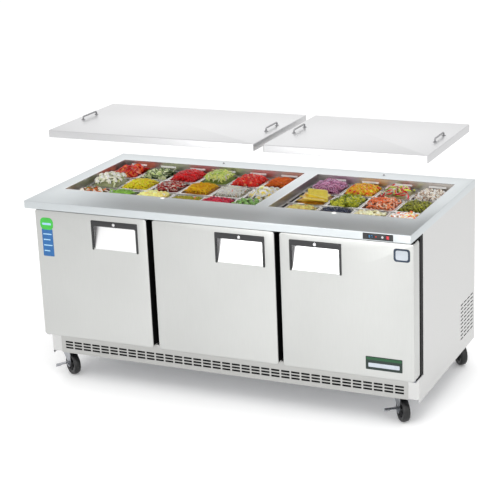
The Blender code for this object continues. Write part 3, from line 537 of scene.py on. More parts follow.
def handle_trim(name, front, low, high):
    """The black pocket frame, one U with round corners, and the two cheeks behind it."""
    bar_low = high.z - HANDLE_BAR
    corner = 0.003
    leg = HANDLE_SIDE + 0.0005
    angles = (0, pi / 6, pi / 3, pi / 2)
    outline = [(low.x + corner * (1 - cos(a)), high.z - corner * (1 - sin(a))) for a in angles]
    outline += [(high.x - corner * (1 - cos(a)), high.z - corner * (1 - sin(a))) for a in reversed(angles)]
    outline += [(high.x, low.z + 0.002), (high.x - 0.002, low.z), (high.x - leg + 0.002, low.z)]
    outline += [(high.x - leg, low.z + 0.004), (high.x - leg, bar_low - 0.005),
                (high.x - leg - 0.004, bar_low)]
    outline += [(low.x + leg + 0.002, bar_low), (low.x + leg, bar_low - 0.002), (low.x + leg, low.z + 0.004)]
    outline += [(low.x + leg - 0.002, low.z), (low.x + 0.002, low.z), (low.x, low.z + 0.002)]
    bm = bmesh.new()
    extrude(bm, outline, 1, low.y, front - 0.0003, 0.0011)
    body = f"door_{name}"
    piece(f"handle_frame_{name}", bm, BLACK, body, [f"handle_trim_{name}"])
    bm = bmesh.new()
    foot, head = low.z + 0.008, high.z - 0.007
    for x0 in (low.x + leg, high.x - leg - 0.0024):
        cheek = [(front - 0.0002, foot), (front + POCKET_DEEP * 0.98, head), (front - 0.0002, head)]
        extrude(bm, cheek, 0, x0, x0 + 0.0024, 0.0004)
    piece(f"handle_cheeks_{name}", bm, BLACK, body)


def door(name):
    """A door skin with its handle pocket, black latch edge that is partly painted shade for the gap, and
    lock.
    """
    body = f"door_{name}"
    low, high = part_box(f"door_shell_{name}")
    trim_low, trim_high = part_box(f"handle_trim_{name}")
    bm = bmesh.new()
    tray(bm, (low.x, low.z, -high.y), (high.x, high.z, -low.y), DOOR_CORNER, BEND + 0.001)
    bm.transform(UPRIGHT)
    left, right = trim_low.x + HANDLE_SIDE, trim_high.x - HANDLE_SIDE
    foot, head, lip = trim_low.z + 0.004, trim_high.z - 0.006, trim_high.z - HANDLE_BAR
    window = ((left, low.y - 0.01, foot), (right, low.y + 0.0021, lip))
    hinge = joint(f"door_{name}_hinge")["pos_m"]
    bore = bmesh.new()
    lathe(bore, [(0.0054, low.z - 0.02), (0.0054, high.z + 0.02)],
          Matrix.Translation((hinge[0], hinge[1], 0)), 24)
    bm = worked(bm, [*boxes(window), bore], "DIFFERENCE")
    piece(f"door_skin_{name}", bm, DOOR_STEEL_SHADED, body, [f"door_shell_{name}"])
    piece(f"pocket_back_{name}", curved_pocket(low.y, foot, head, left - 0.001, right + 0.001),
          POCKET_STEEL, body)
    handle_trim(name, low.y, trim_low, trim_high)

    free_left = hinge[0] > (low.x + high.x) / 2
    edge = low.x if free_left else high.x
    out = -1 if free_left else 1
    # Black latch edge: a plastic strip on the free side that is also painted shade, keeping that side dark
    # where the gap between doors lies in shade.
    y0, y1 = low.y + 0.0035, high.y + 0.0012
    outline = [(edge + out * 0.0001, y0), (edge + out * 0.0016, y0 + 0.0010),
               (edge + out * 0.0016, y0 + 0.020)]
    outline += [(edge + out * 0.0030, y0 + 0.024), (edge + out * 0.0030, y0 + 0.036),
                (edge + out * 0.0016, y0 + 0.040)]
    outline += [(edge + out * 0.0016, y1 - 0.001), (edge + out * 0.0001, y1)]
    bm = bmesh.new()
    extrude(bm, outline, 2, low.z + DOOR_CORNER, high.z - DOOR_CORNER * 0.6)
    piece(f"latch_edge_and_gap_shade_{name}", bm, FRAME_AND_SHADE_BLACK, body)

    lock_low, lock_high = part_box(f"door_lock_{name}")
    spot = Matrix.Translation(((lock_low.x + lock_high.x) / 2, trim_low.y, (lock_low.z + lock_high.z) / 2))
    onto = spot @ Matrix.Rotation(pi / 2, 4, "X")
    bm = bmesh.new()
    radius = (lock_high.x - lock_low.x) / 2
    profile = [(radius, -0.006), (radius, 0.0006), (radius - 0.0003, 0.0013), (radius - 0.0010, 0.0015),
               (0.0004, 0.0012)]
    lathe(bm, profile, onto, 28)
    key = boxes(((-0.0007, -0.0026, 0.0004), (0.0007, 0.0026, 0.004)), edge=0.0003)[0]
    key.transform(onto)
    bm = worked(bm, [key], "DIFFERENCE")
    piece(f"lock_barrel_{name}", bm, BRIGHT_STEEL_AND_HIGHLIGHT, f"lock_{name}", [f"door_lock_{name}"])
    bm = bmesh.new()
    lathe(bm, [(radius + 0.0003, -0.0004), (radius + 0.0024, -0.0004), (radius + 0.0022, 0.0006),
               (radius + 0.0008, 0.0010), (radius + 0.0003, 0.0008)], onto, 28, ring=True)
    piece(f"lock_collar_{name}", bm, BRIGHT_STEEL_AND_HIGHLIGHT, body)


# ---------------------------------------------------------------- controls and labels


def seven_segments(bm, digit, x, z, y, wide, tall, thick):
    """The lit bars of one digit."""
    lit = {"3": "abgcd", "7": "abc", "4": "fgbc"}[digit]
    bars = {
        "a": (x, z + tall, 1), "g": (x, z + tall / 2, 1), "d": (x, z, 1),
        "f": (x, z + tall / 2, 0), "b": (x + wide, z + tall / 2, 0),
        "e": (x, z, 0), "c": (x + wide, z, 0),
    }
    for bar in lit:
        bx, bz, flat = bars[bar]
        size = (wide, thick) if flat else (thick, tall / 2)
        slack = 0.0004
        low = (bx + (slack if flat else -thick / 2), y, bz + (-thick / 2 if flat else slack))
        high = (low[0] + size[0] - (2 * slack if flat else 0), y + 0.0003,
                low[2] + size[1] - (0 if flat else 2 * slack))
        block(bm, low, high, 0.00012, 1)


def controls():
    """The face of the control module: window, digits, lamp and key, round the rocker."""
    low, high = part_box("control_panel")
    switch_low, switch_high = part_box("power_switch")
    middle = (low.z + high.z) / 2
    face = low.y
    slab("control_bezel", (low.x + 0.002, face - 0.0006, low.z + 0.0015),
         (switch_low.x - 0.003, face + 0.0002, high.z - 0.0015), 0.0003, BLACK)
    slab("display_window", (low.x + 0.019, face - 0.0010, middle - 0.0078),
         (low.x + 0.047, face - 0.0004, middle + 0.0078), 0.0003, GLASS_BLACK)
    bm = bmesh.new()
    for index, digit in enumerate("37"):
        x = low.x + 0.0245 + index * 0.010
        seven_segments(bm, digit, x, middle - 0.0040, face - 0.0013, 0.0060, 0.0080, 0.0014)
    piece("display_digits", bm, DIGITS, "cabinet")
    outward = Matrix.Rotation(pi / 2, 4, "X")
    spot = Matrix.Translation((low.x + 0.056, face - 0.0005, middle)) @ outward
    profile = [(0.0026, 0.0), (0.0026, 0.0004), (0.0020, 0.0011), (0.0008, 0.0014)]
    turned("status_lamp", profile, spot, 20, LAMP)
    spot = Matrix.Translation((low.x + 0.083, face - 0.0005, middle)) @ outward
    profile = [(0.0048, 0.0), (0.0048, 0.0006), (0.0040, 0.0012), (0.0010, 0.0010)]
    turned("set_key", profile, spot, 24, KEY_GREY)
    bm = bmesh.new()
    x0, z0, x1, z1 = switch_low.x - 0.0014, middle - 0.0098, switch_high.x + 0.0014, middle + 0.0098
    rings = []
    for inset, y in ((0.0, 0.0), (0.0, -0.0008), (0.0006, -0.0012), (0.0014, -0.0010), (0.0014, 0.0)):
        rings.append(upright(x0 + inset, z0 + inset, x1 - inset, z1 - inset, 0.0018 - inset, face + y))
    loft(bm, rings, wrap=True)
    piece("rocker_frame", bm, BLACK, "cabinet")


def plate(name, body, x0, z0, x1, z1, front, corner, material, proud=0.0005):
    """A thin flat label on a door, its corners round."""
    bm = bmesh.new()
    rings = []
    for inset, out in ((0.0, -0.0001), (0.0, proud * 0.6), (proud * 0.5, proud)):
        radius = max(corner - inset, 0.0002)
        rings.append(upright(x0 + inset, z0 + inset, x1 - inset, z1 - inset, radius, front - out))
    loft(bm, rings)
    piece(name, bm, material, body)


def labels():
    """Plain labels without words or signs, where such doors carry them."""
    low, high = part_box("door_shell_left")
    front = low.y
    x = low.x + 0.024
    plate("label_lower", "door_left", x + 0.005, high.z - 0.216, x + 0.061, high.z - 0.088, front, 0.004,
          LABEL_BLUE)
    for index in range(4):
        z = high.z - 0.110 - index * 0.026
        width = (0.044, 0.036, 0.044, 0.030)[index]
        plate(f"label_line_{index + 1}", "door_left", x + 0.011, z - 0.005, x + 0.011 + width, z,
              front - 0.0005, 0.002,
              LABEL_PALE, 0.0002)
    plate("label_upper", "door_left", x, high.z - 0.092, x + 0.066, high.z - 0.036, front, 0.020, LABEL_GREEN,
          0.0008)
    plate("label_band", "door_left", x + 0.010, high.z - 0.070, x + 0.056, high.z - 0.060, front - 0.0008,
          0.004,
          LABEL_PALE, 0.0002)
    low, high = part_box("door_shell_right")
    x0, z0 = high.x - 0.212, low.z + 0.036
    plate("badge_plate", "door_right", x0, z0, x0 + 0.160, z0 + 0.058, low.y, 0.003, BADGE_DARK,
          0.0012)
    plate("badge_band", "door_right", x0 + 0.003, z0 + 0.043, x0 + 0.157, z0 + 0.055, low.y - 0.0012, 0.001,
          BADGE_GREEN, 0.0003)
    plate("badge_bar", "door_right", x0 + 0.012, z0 + 0.012, x0 + 0.148, z0 + 0.030, low.y - 0.0012, 0.003,
          MARK_GREY, 0.0006)
    x0, z0 = high.x - 0.086, high.z - 0.080
    plate("corner_mark_rim", "door_right", x0, z0, x0 + 0.070, z0 + 0.056, low.y, 0.012, MARK_NAVY,
          0.0006)
    plate("corner_mark_face", "door_right", x0 + 0.009, z0 + 0.008, x0 + 0.061, z0 + 0.048, low.y - 0.0006,
          0.008,
          MARK_GREY, 0.0003)


# ---------------------------------------------------------------- casters


def caster(name):
    """A caster in its own frame, stem at the origin and wheel behind it, then set in place."""
    stem = joint(f"swivel_{name}_turn")["pos_m"]
    wheel = joint(f"wheel_{name}_spin")
    centre = Vector(wheel["pos_m"])
    across = Vector(wheel["axis"]).normalized()
    behind = Vector((-across.y, across.x, 0.0))
    turn = Matrix((across, behind, (0, 0, 1))).transposed().to_4x4()
    trail = (centre - Vector(stem)).dot(behind)
    radius = centre.z
    spot = Matrix.Translation((stem[0], stem[1], 0.0)) @ turn
    hub_spot = Matrix.Translation(centre) @ turn @ Matrix.Rotation(pi / 2, 4, "Y")
    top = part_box(f"caster_fork_{name}")[1].z

    bm = bmesh.new()
    half = [(0.036, -0.0146), (0.0400, -0.0158), (0.0440, -0.0160), (0.0475, -0.0148), (0.0496, -0.0118),
            (0.0507, -0.006)]
    scale = radius / 0.051
    profile = [(r * scale, z) for r, z in half] + [(radius, 0.0)] + [(r * scale, -z) for r,
                                                                     z in reversed(half)]
    lathe(bm, profile, hub_spot, 56, ring=True)
    piece(f"tyre_{name}", bm, RUBBER, f"wheel_{name}", [f"caster_wheel_{name}"])
    bm = bmesh.new()
    half = [(0.0044, -0.0170), (0.0100, -0.0170), (0.0118, -0.0150), (0.0128, -0.0085), (0.0290, -0.0085),
            (0.0318, -0.0130)]
    half += [(0.0362, -0.0144)]
    lathe(bm, half + [(r, -z) for r, z in reversed(half)], hub_spot, 40, ring=True)
    piece(f"hub_{name}", bm, HUB, f"wheel_{name}")
    bm = bmesh.new()
    for index in range(6):
        rib = Matrix.Rotation(2 * pi * index / 6, 4, "Z")
        for side in (-1, 1):
            low, high = (0.0122, -0.0016, 0.0080), (0.0305, 0.0016, 0.0126)
            made = boxes((low, high), edge=0.0005)[0]
            made.transform(hub_spot @ Matrix.Diagonal((1, 1, side, 1)) @ rib)
            mesh = bpy.data.meshes.new("rib")
            made.to_mesh(mesh)
            made.free()
            bm.from_mesh(mesh)
            bpy.data.meshes.remove(mesh)
    piece(f"hub_ribs_{name}", bm, HUB, f"wheel_{name}")

    crown = CROWN_Z
    base = boxes(((-0.0212, -0.024, crown - 0.004), (0.0212, 0.047, crown)), edge=0.0014)[0]
    tools = []
    head = bmesh.new()
    profile = [(0.0255, crown - 0.001), (0.0255, crown + 0.0024), (0.0235, crown + 0.0042),
               (0.0235, crown + 0.0058)]
    profile += [(0.0258, crown + 0.0074), (0.0262, top - 0.0012), (0.0250, top)]
    lathe(head, profile, sides=40)
    tools.append(head)
    for side in (-1, 1):
        leg = bmesh.new()
        x0, x1 = sorted((side * 0.0178, side * 0.0203))
        outline = [(-0.0225, crown - 0.002), (-0.0225, crown - 0.010), (-0.0150, crown - 0.021),
                   (0.0120, 0.066)]
        for step in range(9):
            angle = pi + radians(10) + step / 8 * radians(160)
            outline.append((trail + 0.0125 * cos(angle), radius + 0.0125 * sin(angle)))
        outline += [(0.0485, 0.066), (0.0470, crown - 0.014), (0.0450, crown - 0.002)]
        extrude(leg, outline, 0, x0, x1)
        tools.append(leg)
        for low, high, wide in ((0.0201, 0.0212, 0.0095), (0.0240, 0.0285, 0.0070)):
            ends = sorted((side * low, side * high))
            boss = bmesh.new()
            sides = 6 if wide < 0.008 else 24
            stub = [(wide, ends[0]), (wide, ends[1])]
            lathe(boss, stub, Matrix.Translation((0, trail, radius)) @ Matrix.Rotation(pi / 2, 4, "Y"), sides)
            tools.append(boss)
    axle = bmesh.new()
    lathe(axle, [(0.0040, -0.0300), (0.0040, 0.0300)],
          Matrix.Translation((0, trail, radius)) @ Matrix.Rotation(pi / 2, 4, "Y"), 20)
    tools.append(axle)
    bm = worked(base, tools, "UNION")
    piece(f"fork_{name}", bm, ZINC, f"swivel_{name}", [f"caster_fork_{name}"], spot)

    bm = bmesh.new()
    for x in (-0.029, 0.029):
        for y in (-0.029, 0.029):
            where = Matrix.Translation((x, y, top + 0.0006))
            lathe(bm, [(0.0055, -0.0040), (0.0055, -0.0006), (0.0048, 0.0)], where, 6)
    piece(f"plate_bolts_{name}", bm, ZINC, "cabinet",
          turn=Matrix.Translation((stem[0], stem[1], 0.0)))

    if name.startswith("front"):
        arm = bmesh.new()
        onto = Matrix.Rotation(pi / 2, 4, "Y")
        lathe(arm, [(0.0120, 0.0208), (0.0120, 0.0237)], onto, 28)
        rest = boxes(((0.0208, -0.026, -0.005), (0.0237, 0.0, 0.008)),
                     ((0.0212, -0.036, 0.0005), (0.072, -0.013, 0.0035)),
                     ((0.046, -0.036, -0.011), (0.072, -0.0333, 0.0030)), edge=0.0008)
        bm = worked(arm, rest, "UNION")
        hole = bmesh.new()
        lathe(hole, [(0.0044, 0.01), (0.0044, 0.03)], onto, 20)
        bm = worked(bm, [hole], "DIFFERENCE")
        piece(f"brake_lever_{name}", bm, ZINC, f"brake_{name}", [f"brake_pedal_{name}"],
              Matrix.Translation(centre) @ turn)


# ---------------------------------------------------------------- pans and food


def pan(x, y, top, half_x, half_y):
    """A thin-walled steel pan with a turned-down rim, round corners and a domed foot."""
    def ring(inset, z, radius):
        return rounded_rect(x - half_x + inset, y - half_y + inset, x + half_x - inset, y + half_y - inset,
                            radius, z, 5)

    bottom = top - PAN_DEEP
    floor = bottom + PAN_WALL + 0.001
    inside = [(0.034, floor, 0.012), (0.022, floor, 0.018), (0.0175, bottom + 0.008, 0.020)]
    inside += [(0.0118, top - 0.030, 0.017), (0.0104, top - 0.006, 0.015)]
    rim = [(0.0088, top - 0.0012, 0.014), (0.0070, top + 0.0004, 0.013), (0.0024, top + 0.0006, 0.009)]
    rim += [(0.0006, top - 0.0002, 0.008), (0.0003, top - 0.0030, 0.008), (0.0010, top - 0.0032, 0.008)]
    rim += [(0.0014, top - 0.0009, 0.008), (0.0072, top - 0.0007, 0.012), (0.0080, top - 0.0020, 0.014)]
    outside = [(0.0096, top - 0.0065, 0.015), (0.0110, top - 0.030, 0.018), (0.0167, bottom + 0.008, 0.021)]
    outside += [(0.0215, bottom, 0.019), (0.034, bottom, 0.012)]
    bm = bmesh.new()
    loft(bm, [ring(*values) for values in inside + rim + outside])
    return bm


class Heap:
    """Food items gathered in one mesh, with a colour for each point."""

    def __init__(self, seed):
        self.points = []
        self.faces = []
        self.tints = []
        self.random = Random(seed)

    def shade(self, colour, spread=0.22):
        factor = 1.0 + self.random.uniform(-spread, spread)
        return tuple(min(value * factor * 1.35, 1.0) for value in colour)

    def rings(self, rows, tints, matrix, wrap=False, capped=True):
        """Adds a skin over rows of points; tints has one colour for each row or for each point."""
        start = len(self.points)
        count = len(rows[0])
        for row, tint in zip(rows, tints):
            for index, point in enumerate(row):
                self.points.append(matrix @ Vector(point))
                self.tints.append(tint[index] if isinstance(tint[0], tuple) else tint)
        spans = len(rows) if wrap else len(rows) - 1
        for span in range(spans):
            low = start + span * count
            high = start + (span + 1) % len(rows) * count
            for index in range(count):
                after = (index + 1) % count
                self.faces.append((low + index, low + after, high + after, high + index))
        if capped and not wrap:
            self.faces.append(tuple(start + index for index in reversed(range(count))))
            self.faces.append(tuple(start + (len(rows) - 1) * count + index for index in range(count)))

    def blob(self, matrix, colour, size, square=1.0, rows=5, sides=8, tip=None):
        """An ellipsoid, or with a small square value a chunk with soft corners."""
        def soft(value):
            return abs(value) ** square * (1 if value >= 0 else -1)

        shade = self.shade(colour)
        made, tints = [], []
        for row in range(rows + 1):
            rise = -pi / 2 + pi * (row + 0.25) / (rows + 0.5)
            ring = []
            for side in range(sides):
                angle = 2 * pi * (side + 0.5) / sides
                ring.append((size[0] * soft(cos(rise)) * soft(cos(angle)),
                             size[1] * soft(cos(rise)) * soft(sin(angle)), size[2] * soft(sin(rise))))
            made.append(ring)
            tints.append(self.shade(tip, 0.1) if tip and row >= rows - 1 else shade)
        self.rings(made, tints, matrix)

    def strand(self, matrix, colour, length, wide, thick, bend=0.0, wave=0.0, taper=0.6, steps=5, sides=5,
               edge=None):
        """A bent strip or stick."""
        turns = self.random.uniform(0.8, 1.6)
        phase = self.random.uniform(0, 2 * pi)
        made, tints = [], []
        shade = self.shade(colour)
        rim = self.shade(edge) if edge else shade
        for step in range(steps + 1):
            t = step / steps
            slim = 1.0 - (1.0 - taper) * abs(2 * t - 1) ** 2
            z = bend * sin(pi * t)
            y = wave * sin(2 * pi * turns * t + phase)
            lift = wave * 0.6 * cos(2 * pi * turns * t + phase)
            row = []
            for side in range(sides):
                angle = 2 * pi * side / sides
                row.append(((t - 0.5) * length, y + wide / 2 * slim * cos(angle),
                            z + lift + thick / 2 * slim * sin(angle)))
            made.append(row)
            tints.append([rim if side == 0 else shade for side in range(sides)])
        self.rings(made, tints, matrix)

    def arc(self, matrix, colour, radius, angle, wide, thick, taper=1.0, steps=9, sides=6, edge=None,
            bands=False):
        """A curved piece: a ring, a crescent, or a shrimp that tapers to its tail."""
        closed = angle > 6.2
        made, tints = [], []
        shade = self.shade(colour)
        rim = self.shade(edge) if edge else shade
        for step in range(steps if closed else steps + 1):
            t = step / steps
            slim = 1.0 - (1.0 - taper) * t
            if not closed:
                slim *= 0.45 + 0.55 * sin(pi * min(max(0.5 * t + 0.25, 0.0),
                                                   1.0)) if taper < 1 else sin(pi * (0.1 + 0.8 * t))
            a = angle * t
            row, row_tints = [], []
            for side in range(sides):
                around = 2 * pi * side / sides
                reach = radius + wide / 2 * slim * cos(around)
                row.append((reach * cos(a), reach * sin(a), thick / 2 * slim * sin(around)))
                row_tints.append(rim if cos(around) > 0.4 or (bands and step % 3 == 0) else shade)
            made.append(row)
            tints.append(row_tints)
        self.rings(made, tints, matrix, wrap=closed)

    def disc(self, matrix, colours, radius, thick, sides=14, pockets=False, cup=0.0):
        """A slice: colours run from the middle to the skin."""
        stops = (0.03, 0.34, 0.72, 0.90, 1.0)
        shades = [self.shade(colour, 0.07) for colour in colours]
        made, tints = [], []
        levels = [(stop, 1, index) for index, stop in enumerate(stops)]
        levels += [(stop, -1, index) for index, stop in reversed(list(enumerate(stops)))]
        for stop, sign, index in levels:
            row, row_tints = [], []
            for side in range(sides):
                angle = 2 * pi * side / sides
                swell = 1.0 + 0.04 * sin(3 * angle)
                row.append((radius * stop * swell * cos(angle), radius * stop * swell * sin(angle),
                            sign * thick / 2 * (1.0 if stop < 1 else 0.6) + cup * stop * stop))
                pocket = pockets and index in (1, 2) and side % 4 < 2
                row_tints.append(shades[1] if pocket else shades[min(index, 4)])
            made.append(row)
            tints.append(row_tints)
        self.rings(made, tints, matrix)

    def floret(self, matrix, head, stem, size):
        """A stalk with a crown of small round buds."""
        self.strand(matrix @ Matrix.Rotation(pi / 2, 4, "Y"), stem, size * 1.3, size * 0.5, size * 0.5,
                    taper=0.8)
        for index in range(9):
            angle = 2 * pi * index * 0.382
            reach = size * 0.62 * (index / 8) ** 0.5
            at = Matrix.Translation((reach * cos(angle), reach * sin(angle),
                                     size * (0.75 - 0.30 * (index / 8))))
            bud = size * self.random.uniform(0.26, 0.40)
            self.blob(matrix @ at, head, (bud, bud, bud * 0.8), rows=3, sides=7)

    def finish(self, name, material):
        mesh = bpy.data.meshes.new(name)
        mesh.from_pydata(self.points, [], self.faces)
        colours = mesh.attributes.new("tint", "FLOAT_COLOR", "POINT")
        flat = []
        for tint in self.tints:
            flat.extend((*tint, 1.0))
        colours.data.foreach_set("color", flat)
        mesh.materials.append(material)
        for polygon in mesh.polygons:
            polygon.use_smooth = True
        mesh.set_sharp_from_angle(angle=radians(55))
        made = bpy.data.objects.new(name, mesh)
        bpy.context.scene.collection.objects.link(made)
        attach(made, "cabinet")


def mound(u, v):
    """Height of a heap, 1 in the middle and 0 at the pan's walls."""
    return max((1 - u ** 4) * (1 - v ** 4), 0.0) ** 0.75 * (1 - 0.22 * (u * u + v * v))


def bed(heap, x, y, level, reach_x, reach_y, rise, shade):
    """The body of the heap under its top layer, a closed bumpy mound; the darkened colour it is given is
    painted shade between the items.
    """
    steps = 14
    start = len(heap.points)
    for row in range(steps + 1):
        for column in range(steps + 1):
            u, v = 2 * column / steps - 1, 2 * row / steps - 1
            z = level + rise * mound(u, v) + heap.random.uniform(-0.0015, 0.0015)
            heap.points.append(Vector((x + u * reach_x, y + v * reach_y, z)))
            heap.tints.append(heap.shade(shade, 0.25))
    for row in range(steps):
        for column in range(steps):
            a = start + row * (steps + 1) + column
            heap.faces.append((a, a + 1, a + steps + 2, a + steps + 1))
    rim = [start + index for index in range(steps + 1)]
    rim += [start + (index + 1) * (steps + 1) + steps for index in range(steps)]
    rim += [start + steps * (steps + 1) + steps - 1 - index for index in range(steps)]
    rim += [start + (steps - 1 - index) * (steps + 1) for index in range(steps - 1)]
    foot = len(heap.points)
    for index in rim:
        point = heap.points[index]
        inward = Vector((x, y, 0)) * 0.12 + Vector((point.x, point.y, 0)) * 0.88
        heap.points.append(Vector((inward.x, inward.y, level - 0.055)))
        heap.tints.append(shade)
    count = len(rim)
    for index in range(count):
        after = (index + 1) % count
        heap.faces.append((rim[index], foot + index, foot + after, rim[after]))
    heap.faces.append(tuple(foot + index for index in reversed(range(count))))


WHITE_FOOD = tone(246, 240, 222)
TOMATO = (tone(214, 70, 40), tone(232, 120, 50), tone(214, 34, 24), tone(206, 26, 20), tone(170, 16, 14))
CUCUMBER = (tone(206, 220, 160), tone(196, 214, 140), tone(226, 234, 196), tone(190, 210, 140),
            tone(34, 66, 30))
EGG = (tone(248, 196, 60), tone(248, 200, 70), tone(250, 246, 236), tone(250, 247, 240), tone(246, 240, 228))
LEMON = (tone(250, 240, 190), tone(246, 226, 130), tone(250, 238, 160), tone(250, 246, 226),
         tone(240, 210, 90))
PICKLE = (tone(186, 184, 60), tone(172, 176, 50), tone(196, 194, 70), tone(160, 168, 44), tone(96, 112, 24))
MUSHROOM = (tone(222, 208, 190), tone(206, 186, 168), tone(236, 226, 212), tone(226, 212, 196),
            tone(150, 118, 98))



def discs(count, colours, radius, thick, **more):
    return count, "disc", dict(colours=colours, radius=radius, thick=thick, **more)


def blobs(count, colour, size, **more):
    return count, "blob", dict(colour=colour, size=size, **more)


def strands(count, colour, length, wide, thick, **more):
    return count, "strand", dict(colour=colour, length=length, wide=wide, thick=thick, **more)


def arcs(count, colour, radius, angle, wide, thick, **more):
    return count, "arc", dict(colour=colour, radius=radius, angle=angle, wide=wide, thick=thick, **more)


def florets(count, head, stem, size):
    return count, "floret", dict(head=head, stem=stem, size=size)
